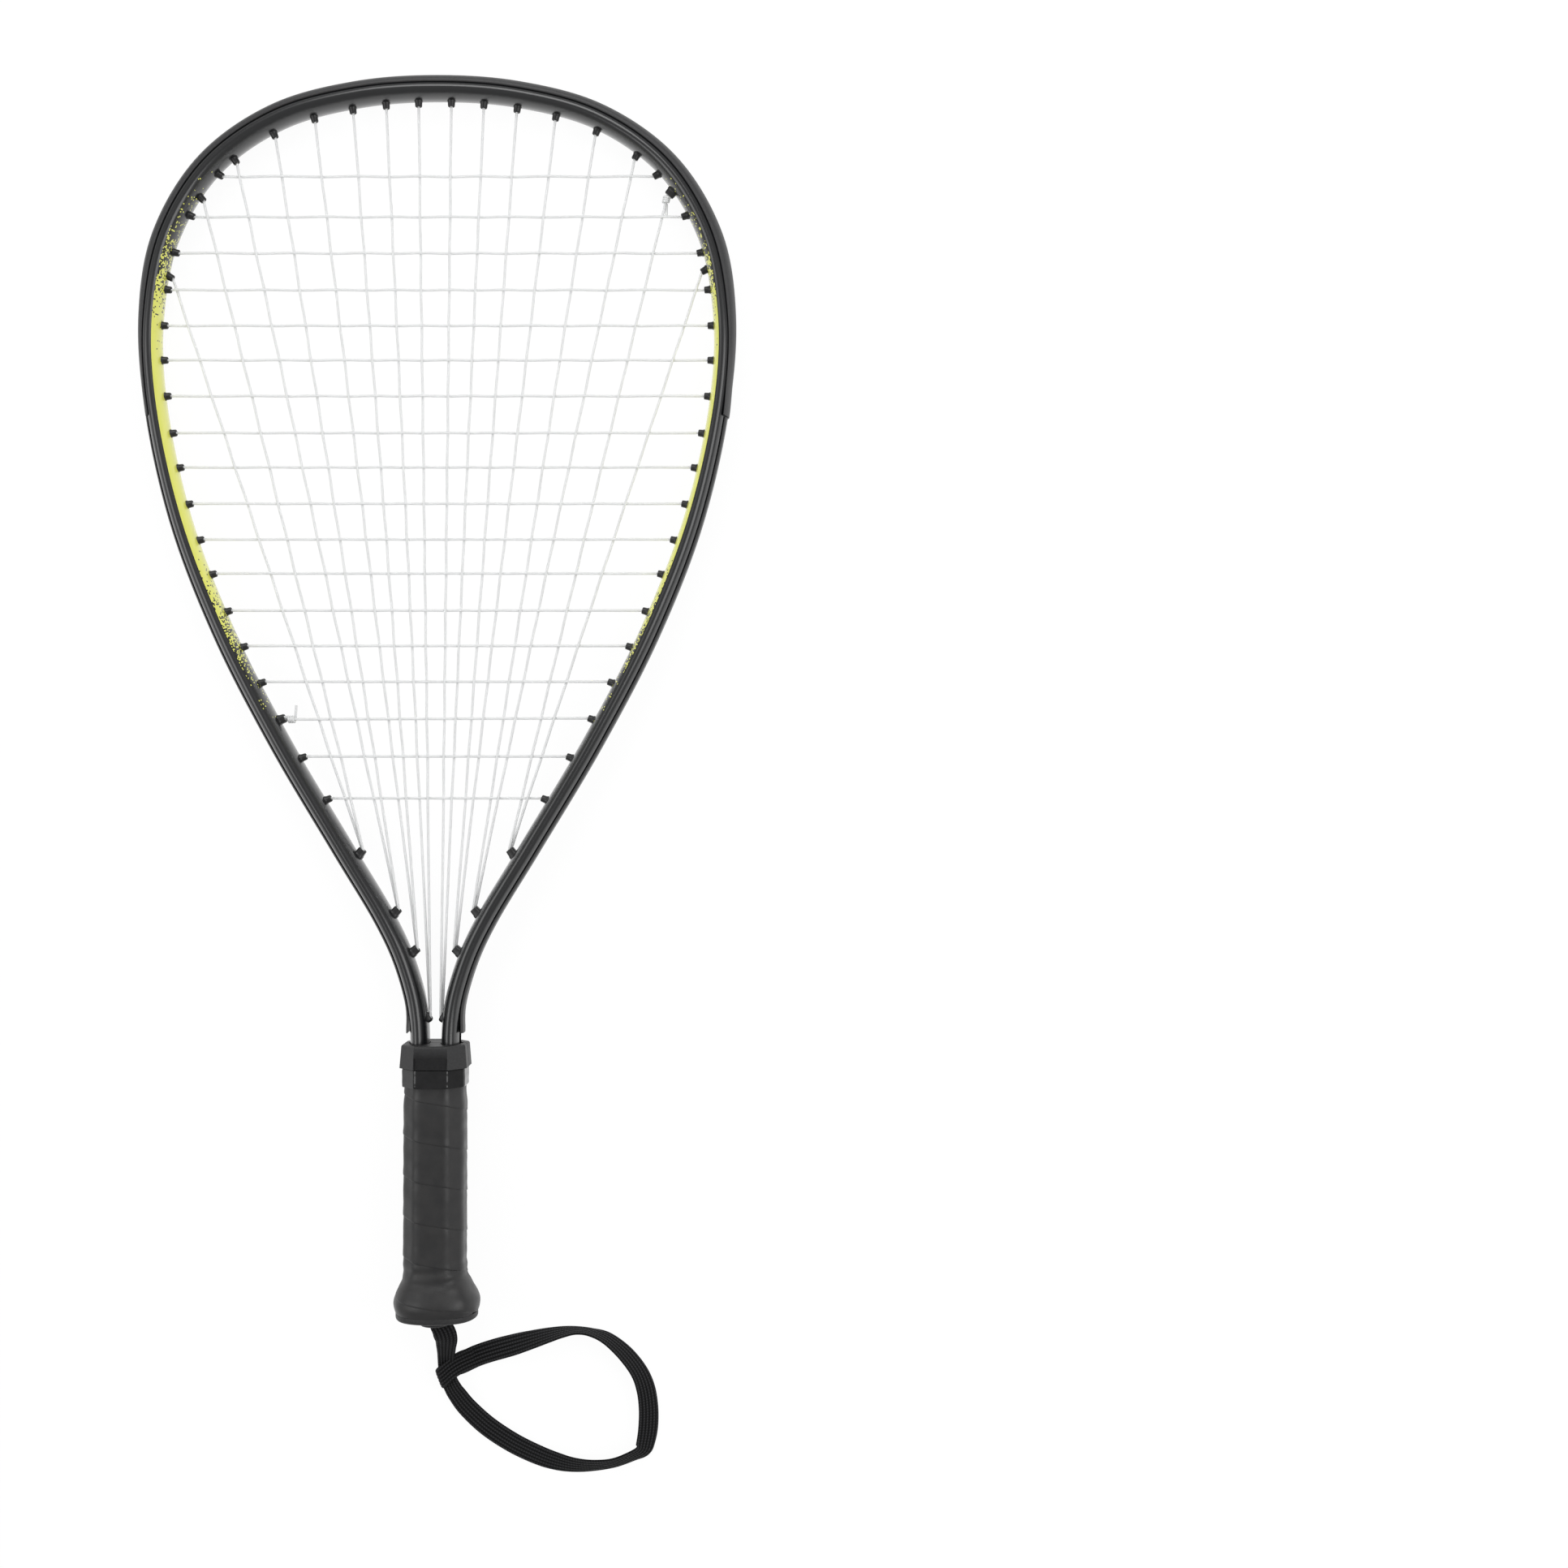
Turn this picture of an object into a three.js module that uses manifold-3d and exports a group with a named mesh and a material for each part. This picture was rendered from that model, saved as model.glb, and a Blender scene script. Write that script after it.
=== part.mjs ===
// Racquetball racket: a bent aluminium frame strung with one strand, a wrapped handle and a wrist cord.
// Millimetres. +Y runs from the butt to the head, +X to the right and +Z up, away from the table.
// The racket lies on the butt flare and the head of the tube, with its cord loose on the table.

import * as THREE from 'three';
import { mergeVertices } from 'three/addons/utils/BufferGeometryUtils.js';
import Module from 'manifold-3d';

// Overall sizes. The two legs of the tube fill the handle, so their width and place follow the grip's width
const overallLength = 558.8;
const headHalfWidth = 128.8;
const gripWidth = 27.6;
const tubeWidthShare = 0.308;
const legSpacingShare = 0.2518;
const legHalfSpacing = gripWidth * legSpacingShare;
const bendStart = 126;

// Clearances that every fit shares
const fitGap = 0.3;
const cutOverrun = 2;
const weldTolerance = 0.0001;

// Frame tube, a hollow extrusion with a groove for the string along its outer side
const tubeWidth = gripWidth * tubeWidthShare;
const tubeDepth = 16.5;
const tubeWall = 1.1;
const legEnd = 25;
const tubeRollDegrees = [14, 42, 68, 90, 112, 134];
const tubeBoreDegrees = [18, 50, 84, 118];
const legRoomDegrees = [14, 42, 68, 90, 112, 138, 166];

// String, a single strand of round gut that is modelled with four sides
const stringDiameter = 1.25;
const squareSpread = 1.12;
const crossingGap = 0.3;
const bendLead = 1.5;
const throatLead = 18;
const stringTurn = 0.9;
const laneShift = 1.6;

// Grommet strips that line the groove, and the wider barrels that pass two strings
const stripThickness = 0.6;
const barrelWall = 0.52;
const barrelReach = 2.7;
const throatReach = 2.9;
const lastReach = 1;
const barrelLean = 0.45;
const pairHalfAcross = 0.55;
const pairHalfUp = 0.75;

// Bumper guard over the head and flat cover strips over the groove below it
const bumperThickness = 2.4;
const bumperRollDegrees = [8, 30, 46];
const bumperThicknessShares = [1, 0.86, 0.42];
const bumperTaperShares = [0.28, 0.42];
const coverThickness = 0.65;
const coverHalfDepth = 4.6;
const stripEndAboveCollar = 1.6;

// Holes in the frame, as shares of its half length from the middle of the head to the collar
const mainShares = [0.304, 0.229, 0.184, 0.143, 0.105, 0.071, 0.042, 0.014];
const mainShiftShare = -0.003;
const crossShares = [
  0.21, 0.254, 0.289, 0.322, 0.353, 0.383, 0.414, 0.446, 0.476,
  0.508, 0.54, 0.571, 0.605, 0.638, 0.672, 0.707, 0.744, 0.785,
];
const throatShares = [0.843, 0.9, 0.935, 0.989];
const headSplitShare = 0.43;
const throatSplitShare = 0.814;
const tiedCross = 15;

// Knots that tie the strand off, and their tails
const knotLength = 2.4;
const knotWall = 0.9;
const knotLead = 0.6;
const tailLength = 6.5;
const tailLeanShare = 0.2;

// Grip and the butt flare that it follows
const gripDepth = 26.2;
const buttWidth = 39.5;
const buttDepth = 34.5;
const flareLength = 27;
const bulgeHeight = 7.3;
const bulgeDropShare = 0.18;
const frontFlatShare = 0.517;
const sideFlatShare = 0.48;
const gripThickness = 1.5;
const gripStripWidth = 17.4;
const gripPitch = 18;
const gripBottom = 2.9;
const gripTop = 111.7;
const leastStripWidth = 0.8;
const stripPoints = 5;

// Finishing tape, and the bare collar above it
const tapeWidth = 7.9;
const tapeThickness = 0.4;
const tapeStand = 0.15;
const collarTop = 122.6;
const collarHeight = 10.5;
const collarWidth = 28.6;
const collarFlare = 0.75;
const collarChamfer = 0.6;
const panelHeight = 5.1;
const panelDepth = 0.8;
const notchHalfDepth = 1.6;
const notchReach = 1;
const notchHeight = 3;

// Butt cap, its plug and the screws that hold the handle shells together
const shellBottom = 11;
const capTop = 17;
const capFloor = 3.2;
const capRoom = 0.3;
const rimRound = 1.3;
const capHeightShares = [0.15, 0.31, 0.47, 0.65, 0.82, 1];
const knotRoomDiameter = 20;
const plugDiameter = 13.9;
const plugSpigotDiameter = 12.6;
const plugReach = 3.5;
const plugRound = 1;
const screwDiameter = 2.8;
const screwHeadDiameter = 5.6;
const screwHeadHeight = 1.7;
const screwSink = 0.4;
const screwPoint = 1.5;
const screwTipDiameter = 0.6;
const screwLength = 17;
const screwHeights = [46, 92];

// Wrist cord, a flat braid that is doubled between the plug and the outer knot
const cordWidth = 9.7;
const cordThickness = 1.5;
const stubLayers = 2;
const innerKnot = { width: 12.4, length: 6, height: 9 };
const outerKnot = { width: 10.2, length: 14, height: 8.2, x: 2.6, y: -29.8 };

// Cord routes: x, distance from the butt along the racket, height above the table and roll in degrees.
// The doubled stretch is drawn in towards the outer knot.
const stubRoute = [
  [0, 3.2, 17.3, 0], [0, 0, 17.4, 0], [0.1, -3.5, 17.4, 0], [0.7, -7.5, 16.5, 3], [1.6, -11.5, 13.9, 6],
  [2.3, -15.5, 10.7, 4], [2.6, -19, 7.7, 2], [2.6, -22.5, 5.1, 0],
];
const stubWidthShares = [1, 1, 1, 0.97, 0.91, 0.84, 0.79, 0.76];
const loopRoute = [
  [7.6, -25.9, 2.3, 0], [16, -22.3, 1.5, -5], [23.6, -19.6, 2, -11], [32.6, -16.9, 3, -26],
  [41.6, -14.1, 4.3, -46], [49.4, -11.9, 4.8, -62], [56.3, -10.3, 5.1, -76], [62.6, -9.6, 5.3, -87],
  [68.9, -10.5, 5.3, -86], [76.1, -13.4, 5.1, -71], [84, -20.1, 4.8, -57], [90.1, -28.1, 4.4, -48],
  [93.3, -36.1, 3.8, -36], [94.6, -44.9, 3.4, -29], [94.5, -53.9, 3.2, -25], [93.1, -61.1, 3.6, -31],
  [88.2, -66.3, 4.5, -47], [79.3, -69.8, 4.7, -50], [70.2, -71.1, 4.4, -44], [61.4, -71.1, 3.8, -33],
  [52.8, -69.8, 2.8, -19], [44, -67, 2.2, -10], [32.7, -61.6, 2, -6], [21.3, -54, 2.2, -5],
  [12.4, -45.5, 2.9, -9], [7.9, -39.5, 3.5, -16], [5.7, -35.8, 4, -23],
];

// Manifold does the joins and cuts
const wasm = await Module();
wasm.setup();

function toSolid(geometry) {
  const bare = new THREE.BufferGeometry();
  bare.setAttribute('position', geometry.attributes.position);
  if (geometry.index) bare.setIndex(geometry.index);
  const merged = mergeVertices(bare, weldTolerance);
  return new wasm.Manifold(new wasm.Mesh({
    numProp: 3,
    vertProperties: new Float32Array(merged.attributes.position.array),
    triVerts: new Uint32Array(merged.index.array),
  }));
}

function toGeometry(solid) {
  const mesh = solid.getMesh();
  const geometry = new THREE.BufferGeometry();
  geometry.setAttribute('position', new THREE.BufferAttribute(new Float32Array(mesh.vertProperties), 3));
  geometry.setIndex(Array.from(mesh.triVerts));
  return geometry;
}

const join = (first, others) => others.reduce((whole, other) => whole.add(other), first);
const cut = (first, others) => others.reduce((whole, other) => whole.subtract(other), first);

// A closed solid through a row of rings with the same number of points, capped at both ends
function loft(rings, outline) {
  const count = rings[0].length;
  const positions = rings.flat().flatMap((point) => [point.x, point.y, point.z]);
  let faces = [];
  for (let ring = 0; ring + 1 < rings.length; ring += 1) {
    for (let i = 0; i < count; i += 1) {
      const a = ring * count + i;
      const b = ring * count + (i + 1) % count;
      faces.push([a, b, a + count], [b, b + count, a + count]);
    }
  }
  const last = (rings.length - 1) * count;
  for (const [a, b, c] of THREE.ShapeUtils.triangulateShape(outline, [])) {
    faces.push([a, c, b], [last + a, last + b, last + c]);
  }
  if (enclosedVolume(positions, faces) < 0) faces = faces.map(([a, b, c]) => [a, c, b]);
  const geometry = new THREE.BufferGeometry();
  geometry.setAttribute('position', new THREE.Float32BufferAttribute(positions, 3));
  geometry.setIndex(faces.flat());
  return geometry;
}

function enclosedVolume(positions, faces) {
  const corner = (i) => new THREE.Vector3().fromArray(positions, 3 * i);
  return faces.reduce((sum, [a, b, c]) => sum + corner(a).dot(corner(b).cross(corner(c))), 0) / 6;
}

// Outlines are points put anticlockwise, so that the caps of a loft agree with its sides
function outlineOf(points) {
  const outline = points.map(([across, up]) => new THREE.Vector2(across, up));
  return THREE.ShapeUtils.isClockWise(outline) ? outline.reverse() : outline;
}

const mirrored = (half) => [...half, ...half.map(([across, up]) => [across, -up]).reverse()];
const scaled = (shares, across, up) => shares.map(([a, u]) => [a * across, u * up]);
const sixSided = [[1, 0], [0.5, 0.866], [-0.5, 0.866], [-1, 0], [-0.5, -0.866], [0.5, -0.866]];
const eightSided = mirrored([[1, 0.5], [0.66, 1], [-0.66, 1], [-1, 0.5]]);
const square = [[1, 1], [-1, 1], [-1, -1], [1, -1]];
const diamond = [[1, 0], [0, 1], [-1, 0], [0, -1]];

// A solid turned about Y from rows of [height, radius]
function turned(rows, sidesRound) {
  const circle = Array.from({ length: sidesRound }, (_, i) => {
    const angle = 2 * Math.PI * i / sidesRound;
    return [Math.cos(angle), Math.sin(angle)];
  });
  const rings = rows.map(([height, radius]) => (
    circle.map(([x, z]) => new THREE.Vector3(x * radius, height, z * radius))
  ));
  return toSolid(loft(rings, outlineOf(circle)));
}

const rod = (radius, low, high, sidesRound) => turned([[low, radius], [high, radius]], sidesRound);

// Sizes that follow from the string: its four sided section, the lanes in the groove and the stack over it
const tubeHalfWidth = tubeWidth / 2;
const tubeHalfDepth = tubeDepth / 2;
const stringRadius = stringDiameter / 2 * squareSpread;
const lane = 2 * stringRadius + fitGap;
const grooveHalfDepth = lane + stringRadius + fitGap;
const tubeSurface = (up) => tubeHalfWidth * Math.sqrt(1 - (up / tubeHalfDepth) ** 2);
const coverInner = tubeSurface(grooveHalfDepth) + fitGap;
const laneOut = coverInner - fitGap - stringRadius;
const stripOuter = laneOut - stringRadius - fitGap;
const stripInner = stripOuter - stripThickness;
const grooveFloor = stripInner - fitGap;
const layerRise = stringRadius + crossingGap / 2;

// Frame centreline: shares of the way from the leg to the widest tube, and from the collar to the head
const headTop = overallLength - tubeHalfWidth - fitGap - bumperThickness;
const outlineShares = [
  [0.243, 0.9935], [0.536, 0.97], [0.783, 0.92], [0.94, 0.8465], [0.9975, 0.7615], [0.987, 0.6745],
  [0.892, 0.5474], [0.729, 0.4258], [0.52, 0.3098], [0.2867, 0.1978], [0.1296, 0.1234],
  [0.0638, 0.0842], [0.0185, 0.043], [0.0045, 0.0188], [0, 0],
];

function frameCurve() {
  const right = outlineShares.map(([out, along]) => new THREE.Vector3(
    legHalfSpacing + out * (headHalfWidth - legHalfSpacing),
    bendStart + along * (headTop - bendStart),
    0,
  ));
  const left = right.map((point) => new THREE.Vector3(-point.x, point.y, 0)).reverse();
  const head = new THREE.Vector3(0, headTop, 0);
  return new THREE.CatmullRomCurve3([...left, head, ...right], false, 'centripetal');
}

// Stations along the frame, closer together where it bends. A place is a length from the head's middle.
const curve = frameCurve();
const halfLength = curve.getLength() / 2;
const legLength = bendStart - legEnd;
const stationShares = [
  0.025, 0.05, 0.075, 0.1, 0.125, 0.15, 0.175, 0.2, 0.225, 0.25, 0.28, 0.32, 0.37, 0.43,
  0.5, 0.57, 0.64, 0.71, 0.78, 0.83, 0.87, 0.9, 0.925, 0.95, 0.975,
];

function curveStation(place) {
  const share = 0.5 + place / halfLength / 2;
  const tangent = curve.getTangentAt(share);
  return { place, centre: curve.getPointAt(share), out: new THREE.Vector3(-tangent.y, tangent.x, 0) };
}

function legStation(side, height) {
  return {
    place: side * (halfLength + bendStart - height),
    centre: new THREE.Vector3(side * legHalfSpacing, height, 0),
    out: new THREE.Vector3(side, 0, 0),
  };
}

function sideStations(side) {
  const curved = stationShares.map((share) => curveStation(side * share * halfLength));
  return [...curved, legStation(side, bendStart), legStation(side, legEnd)];
}
const stations = [...sideStations(-1).reverse(), curveStation(0), ...sideStations(1)];

// The point at a place along the frame, a distance out from its middle and a height above its plane
function onFrame(place, out, up) {
  const found = stations.findIndex((station) => station.place >= place);
  const next = found < 0 ? stations.length - 1 : Math.max(found, 1);
  const [a, b] = [stations[next - 1], stations[next]];
  const start = a.centre.clone().addScaledVector(a.out, out);
  const end = b.centre.clone().addScaledVector(b.out, out);
  return start.lerp(end, (place - a.place) / (b.place - a.place)).setZ(up);
}

function placesBetween(from, to, margin) {
  const low = Math.min(from, to) + margin;
  const high = Math.max(from, to) - margin;
  const inside = stations.map((station) => station.place).filter((place) => place > low && place < high);
  return from < to ? inside : inside.reverse();
}

// A profile of (out, up) points swept along the frame; it may change with the place
function sweepFrame(profileAt, from, to) {
  const places = [from, ...placesBetween(from, to, stringTurn), to];
  const rings = places.map((place) => outlineOf(profileAt(place)).map((p) => onFrame(place, p.x, p.y)));
  return loft(rings, outlineOf(profileAt(from)));
}

function tubeOutline() {
  const oval = tubeRollDegrees.map((degrees) => {
    const angle = THREE.MathUtils.degToRad(degrees);
    return [-tubeHalfWidth * Math.cos(angle), tubeHalfDepth * Math.sin(angle)];
  });
  const groove = [tubeSurface(grooveHalfDepth), grooveFloor].map((out) => [out, grooveHalfDepth]);
  return mirrored([...oval, ...groove]);
}

function tubeBoreOutline() {
  const oval = tubeBoreDegrees.map((degrees) => {
    const angle = THREE.MathUtils.degToRad(degrees);
    return [-(tubeHalfWidth - tubeWall) * Math.cos(angle), (tubeHalfDepth - tubeWall) * Math.sin(angle)];
  });
  return mirrored([...oval, [grooveFloor - tubeWall, grooveHalfDepth + tubeWall]]);
}

// Holes. Each one leans from the tube's normal towards the run of string that it passes, and spread says
// how far its two strings lie to the sides of its axis.
function makeHole(place, reach, spread, target) {
  const centre = onFrame(place, 0, 0);
  const inward = onFrame(place, -tubeHalfWidth, 0).sub(centre).normalize();
  const pull = target.clone().sub(centre).normalize();
  const axis = inward.clone().addScaledVector(pull, barrelLean).normalize();
  const headward = onFrame(place - Math.sign(place) * stringTurn, 0, 0).sub(centre);
  const across = new THREE.Vector3(-axis.y, axis.x, 0);
  if (across.dot(headward) < 0) across.negate();
  return { place, centre, inward, axis, across, spread, tip: (tubeHalfWidth + reach) / axis.dot(inward) };
}

// A point in a hole: a distance along its axis, across it and above the frame's plane
function inHole(hole, along, across, up) {
  const point = hole.centre.clone().addScaledVector(hole.axis, along);
  return point.addScaledVector(hole.across, across).setZ(up);
}

// How far along its axis a line beside it is a given distance out from the tube's middle
function alongAtOut(hole, out, across) {
  return -(out + across * hole.across.dot(hole.inward)) / hole.axis.dot(hole.inward);
}

// The place at which a line beside its axis is a given distance out from the tube's middle
function placeAtOut(hole, out, across) {
  const point = inHole(hole, alongAtOut(hole, out, across), across, 0).sub(hole.centre);
  const ahead = onFrame(hole.place + stringTurn, 0, 0).sub(hole.centre).normalize();
  return hole.place + point.dot(ahead);
}

// One string, two strings at the throat and at the lower tie, and two side by side at the upper tie
const noSpread = { across: 0, up: 0 };
const pairSpread = { across: pairHalfAcross, up: pairHalfUp };
const sideSpread = { across: stringRadius + fitGap / 2, up: 0 };

// Half sizes of a hole's bore, of the barrel round it and of the hole drilled for that
const boreRadius = stringRadius + fitGap * Math.SQRT2;
const boreHalves = ({ spread }) => [spread.across, spread.up].map((half) => half + stringRadius + fitGap);

function boreSection(hole) {
  if (hole.spread === noSpread) return scaled(diamond, boreRadius, boreRadius);
  return scaled(square, ...boreHalves(hole));
}

function barrelHalves(hole) {
  if (hole.spread === noSpread) return [boreRadius + barrelWall, boreRadius + barrelWall];
  return boreHalves(hole).map((half) => half + barrelWall);
}

function barrelSection(hole) {
  return scaled(hole.spread === noSpread ? sixSided : eightSided, ...barrelHalves(hole));
}

const drilledSection = (hole) => scaled(square, ...barrelHalves(hole).map((half) => half + fitGap));

// Rings of a hole's section: flat to the tube at a distance out from its middle, or square to the axis
function flatRing(hole, section, out) {
  return outlineOf(section).map((p) => inHole(hole, alongAtOut(hole, out, p.x), p.x, p.y));
}

function squareRing(hole, section, along) {
  return outlineOf(section).map((p) => inHole(hole, along, p.x, p.y));
}

// Mains are counted from the left, two to each throat hole, and crosses from the head
const mainCount = 2 * mainShares.length;
const tiedMain = mainCount - 2;
const mainSide = (main) => (main < mainShares.length ? -1 : 1);
const fromEdge = (main) => Math.min(main, mainCount - 1 - main);
const throatPair = (main) => Math.floor(fromEdge(main) / 2);
const placeOf = (side, share) => side * share * halfLength;

const mainHoles = Array.from({ length: mainCount }, (_, main) => {
  const target = onFrame(placeOf(mainSide(main), throatShares[throatPair(main)]), 0, 0);
  const place = placeOf(mainSide(main), mainShares[fromEdge(main)]) + placeOf(1, mainShiftShare);
  return makeHole(place, barrelReach, main === tiedMain ? sideSpread : noSpread, target);
});

function makeThroatHoles(side) {
  return throatShares.map((share, pair) => {
    const [outer, inner] = [2 * pair, 2 * pair + 1].map((i) => onFrame(placeOf(side, mainShares[i]), 0, 0));
    const reach = pair === throatShares.length - 1 ? lastReach : throatReach;
    return makeHole(placeOf(side, share), reach, pairSpread, outer.lerp(inner, 0.5));
  });
}

function makeCrossHoles(side) {
  return crossShares.map((share, cross) => {
    const spread = side < 0 && cross === tiedCross ? pairSpread : noSpread;
    return makeHole(placeOf(side, share), barrelReach, spread, onFrame(placeOf(-side, share), 0, 0));
  });
}

const throatHoles = { left: makeThroatHoles(-1), right: makeThroatHoles(1) };
const crossHoles = { left: makeCrossHoles(-1), right: makeCrossHoles(1) };
const allHoles = [
  ...mainHoles, ...throatHoles.left, ...throatHoles.right, ...crossHoles.left, ...crossHoles.right,
];

// Frame tube: the hollow extrusion, bent and drilled
function frameTube() {
  const end = halfLength + legLength;
  const outer = toSolid(sweepFrame(tubeOutline, -end, end));
  const bore = toSolid(sweepFrame(tubeBoreOutline, -end - cutOverrun, end + cutOverrun));
  const drilled = allHoles.map((hole) => {
    const section = drilledSection(hole);
    const outs = [stripOuter, -tubeHalfWidth - cutOverrun];
    return toSolid(loft(outs.map((out) => flatRing(hole, section, out)), outlineOf(section)));
  });
  return toGeometry(cut(outer, [bore, ...drilled]));
}

// Grommet strip: a thin base along the groove, with a barrel through each hole
function barrel(hole) {
  const section = barrelSection(hole);
  const root = flatRing(hole, section, (stripInner + stripOuter) / 2);
  return toSolid(loft([root, squareRing(hole, section, hole.tip)], outlineOf(section)));
}

function barrelBore(hole) {
  const section = boreSection(hole);
  const mouth = flatRing(hole, section, stripOuter + cutOverrun);
  return toSolid(loft([mouth, squareRing(hole, section, hole.tip + cutOverrun)], outlineOf(section)));
}

function grommetStrip(from, to) {
  const edge = grooveHalfDepth - fitGap;
  const base = mirrored([[stripInner, edge], [stripOuter, edge]]);
  const holes = allHoles.filter(({ place }) => place > from && place < to);
  const whole = join(toSolid(sweepFrame(() => base, from, to)), holes.map(barrel));
  return toGeometry(cut(whole, holes.map(barrelBore)));
}

// Bumper guard: wraps the outer half of the tube over the head and thins towards its two ends
function bumperOutline(place) {
  const taper = THREE.MathUtils.smoothstep(Math.abs(place) / halfLength, ...bumperTaperShares);
  const thickness = THREE.MathUtils.lerp(bumperThickness, coverThickness, taper);
  const flat = Math.cos(THREE.MathUtils.degToRad(bumperRollDegrees[0]));
  const outer = bumperRollDegrees.map((degrees, i) => {
    const angle = THREE.MathUtils.degToRad(degrees);
    const stand = fitGap + Math.max(thickness * bumperThicknessShares[i], coverThickness);
    return [(tubeHalfWidth + stand) * Math.cos(angle) / flat, (tubeHalfDepth + stand) * Math.sin(angle)];
  });
  const lip = THREE.MathUtils.degToRad(bumperRollDegrees.at(-1));
  const inner = [(tubeHalfWidth + fitGap) * Math.cos(lip), (tubeHalfDepth + fitGap) * Math.sin(lip)];
  return mirrored([...outer, inner, [coverInner, grooveHalfDepth]]);
}

// Cover strips: close the groove below the bumper and seat on the tube on both sides of it
function coverOutline() {
  const edge = tubeSurface(coverHalfDepth) + fitGap;
  return mirrored([
    [coverInner + coverThickness, grooveHalfDepth], [edge + coverThickness / 2, coverHalfDepth],
    [edge, coverHalfDepth], [coverInner, grooveHalfDepth],
  ]);
}

// Ends of the strand's runs: a hole, where in it the string lies and how soon past it the run is level
function endIn(hole, acrossShare, upShare, lead = bendLead) {
  return { hole, across: acrossShare * hole.spread.across, up: upShare * hole.spread.up, lead };
}

function throatEnd(main) {
  const hole = (mainSide(main) < 0 ? throatHoles.left : throatHoles.right)[throatPair(main)];
  return fromEdge(main) % 2 === 0 ? endIn(hole, 1, -1, throatLead) : endIn(hole, -1, 1, throatLead);
}

const headEnd = (main) => endIn(mainHoles[main], 1, 0);
const crossEnd = (side, cross) => endIn((side < 0 ? crossHoles.left : crossHoles.right)[cross], -1, -1);
const headTie = endIn(mainHoles[tiedMain], -1, 0);
const sideTie = endIn(crossHoles.left[tiedCross], 1, 1);

const tipPoint = ({ hole, across, up }) => inHole(hole, hole.tip + fitGap, across, up);
const outPoint = ({ hole, across, up }) => (
  inHole(hole, alongAtOut(hole, laneOut - stringTurn, across), across, up)
);

// A run from hole to hole, level between its two bends: the mains lie over the crosses
function levelPoints(run, up) {
  const [start, end] = run.map(tipPoint);
  const [lead, trail] = run.map((runEnd) => runEnd.lead / start.distanceTo(end));
  return [lead, 1 - trail].map((share) => start.clone().lerp(end, share).setZ(up * layerRise));
}

function runPoints(run, up) {
  const [start, end] = run;
  return [outPoint(start), tipPoint(start), ...levelPoints(run, up), tipPoint(end), outPoint(end)];
}

const mainRun = (main) => [headEnd(main), throatEnd(main)];
const crossRun = (cross) => [crossEnd(-1, cross), crossEnd(1, cross)];
const mainPoints = (main) => runPoints(mainRun(main), 1);
const crossPoints = (cross) => runPoints(crossRun(cross), -1);

// The strand's way along the groove from one hole to another, beside the holes it passes in a lane
function groovePoints(from, to, up) {
  const [start, end] = [from, to].map(({ hole, across }) => placeAtOut(hole, laneOut, across));
  const step = Math.sign(end - start);
  const turn = step * stringTurn;
  const shift = turn + step * laneShift;
  const at = (place, height) => onFrame(place, laneOut, height);
  const along = placesBetween(start, end, Math.abs(shift) + stringTurn).map((place) => at(place, up));
  const inLane = up === 0 ? along : [at(start + shift, up), ...along, at(end - shift, up)];
  return [at(start + turn, from.up), ...inLane, at(end - turn, to.up)];
}

// The mains in the strand's order, counted from the edge, each down from the head or up from the throat.
// The right half runs in this order and the left half in the other.
const halfOrder = [0, 2, 1, 3, 4, 6, 5, 7];
const strandMains = [
  ...halfOrder.map((edge) => mainCount - 1 - edge),
  ...[...halfOrder].reverse(),
];

// Links over the head pass the first cross hole in a lane, and links at the throat keep a lane each
function mainLink(from, to, atHead) {
  const ends = atHead ? [headEnd(from), headEnd(to)] : [throatEnd(from), throatEnd(to)];
  const passesCross = Math.max(fromEdge(from), fromEdge(to)) === 2;
  const headLane = passesCross ? mainSide(from) * lane : 0;
  return groovePoints(...ends, atHead ? headLane : Math.sign(ends[0].up) * lane);
}

// Links at the right of the first and third crosses pass a main's hole
function crossLink(cross) {
  const side = cross % 2 === 0 ? 1 : -1;
  const up = cross === 0 || cross === 2 ? -lane : 0;
  return groovePoints(crossEnd(side, cross), crossEnd(side, cross + 1), up);
}

function strandPoints() {
  const mains = strandMains.flatMap((main, i) => {
    const down = i % 2 === 0;
    const points = down ? mainPoints(main) : mainPoints(main).reverse();
    const next = strandMains[i + 1];
    return next === undefined ? points : [...points, ...mainLink(main, next, !down)];
  });
  const crosses = crossShares.flatMap((_, cross) => {
    const points = cross % 2 === 0 ? crossPoints(cross) : crossPoints(cross).reverse();
    return cross + 1 < crossShares.length ? [...points, ...crossLink(cross)] : points;
  });
  const lastCross = crossEnd(-1, crossShares.length - 1);
  return [
    tipPoint(headTie), outPoint(headTie),
    ...groovePoints(headTie, headEnd(mainCount - 1), lane), ...mains,
    ...groovePoints(headEnd(0), crossEnd(-1, 0), lane), ...crosses,
    ...groovePoints(lastCross, sideTie, lane), outPoint(sideTie), tipPoint(sideTie),
  ];
}

// A section of (across, up) points carried square to a route, its across side kept level and then rolled
function sweepRoute(points, sectionAt) {
  const rings = points.map((point, i) => {
    const before = points[Math.max(i - 1, 0)];
    const after = points[Math.min(i + 1, points.length - 1)];
    const arriving = point.clone().sub(before).normalize();
    const leaving = after.clone().sub(point).normalize();
    const ahead = arriving.add(leaving).normalize();
    const side = new THREE.Vector3(-ahead.y, ahead.x, 0).normalize();
    const rise = new THREE.Vector3().crossVectors(ahead, side);
    return outlineOf(sectionAt(i)).map((p) => (
      point.clone().addScaledVector(side, p.x).addScaledVector(rise, p.y)
    ));
  });
  return loft(rings, outlineOf(sectionAt(0)));
}

const strandSection = scaled(diamond, stringRadius, stringRadius);
const strand = () => sweepRoute(strandPoints(), () => strandSection);

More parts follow.
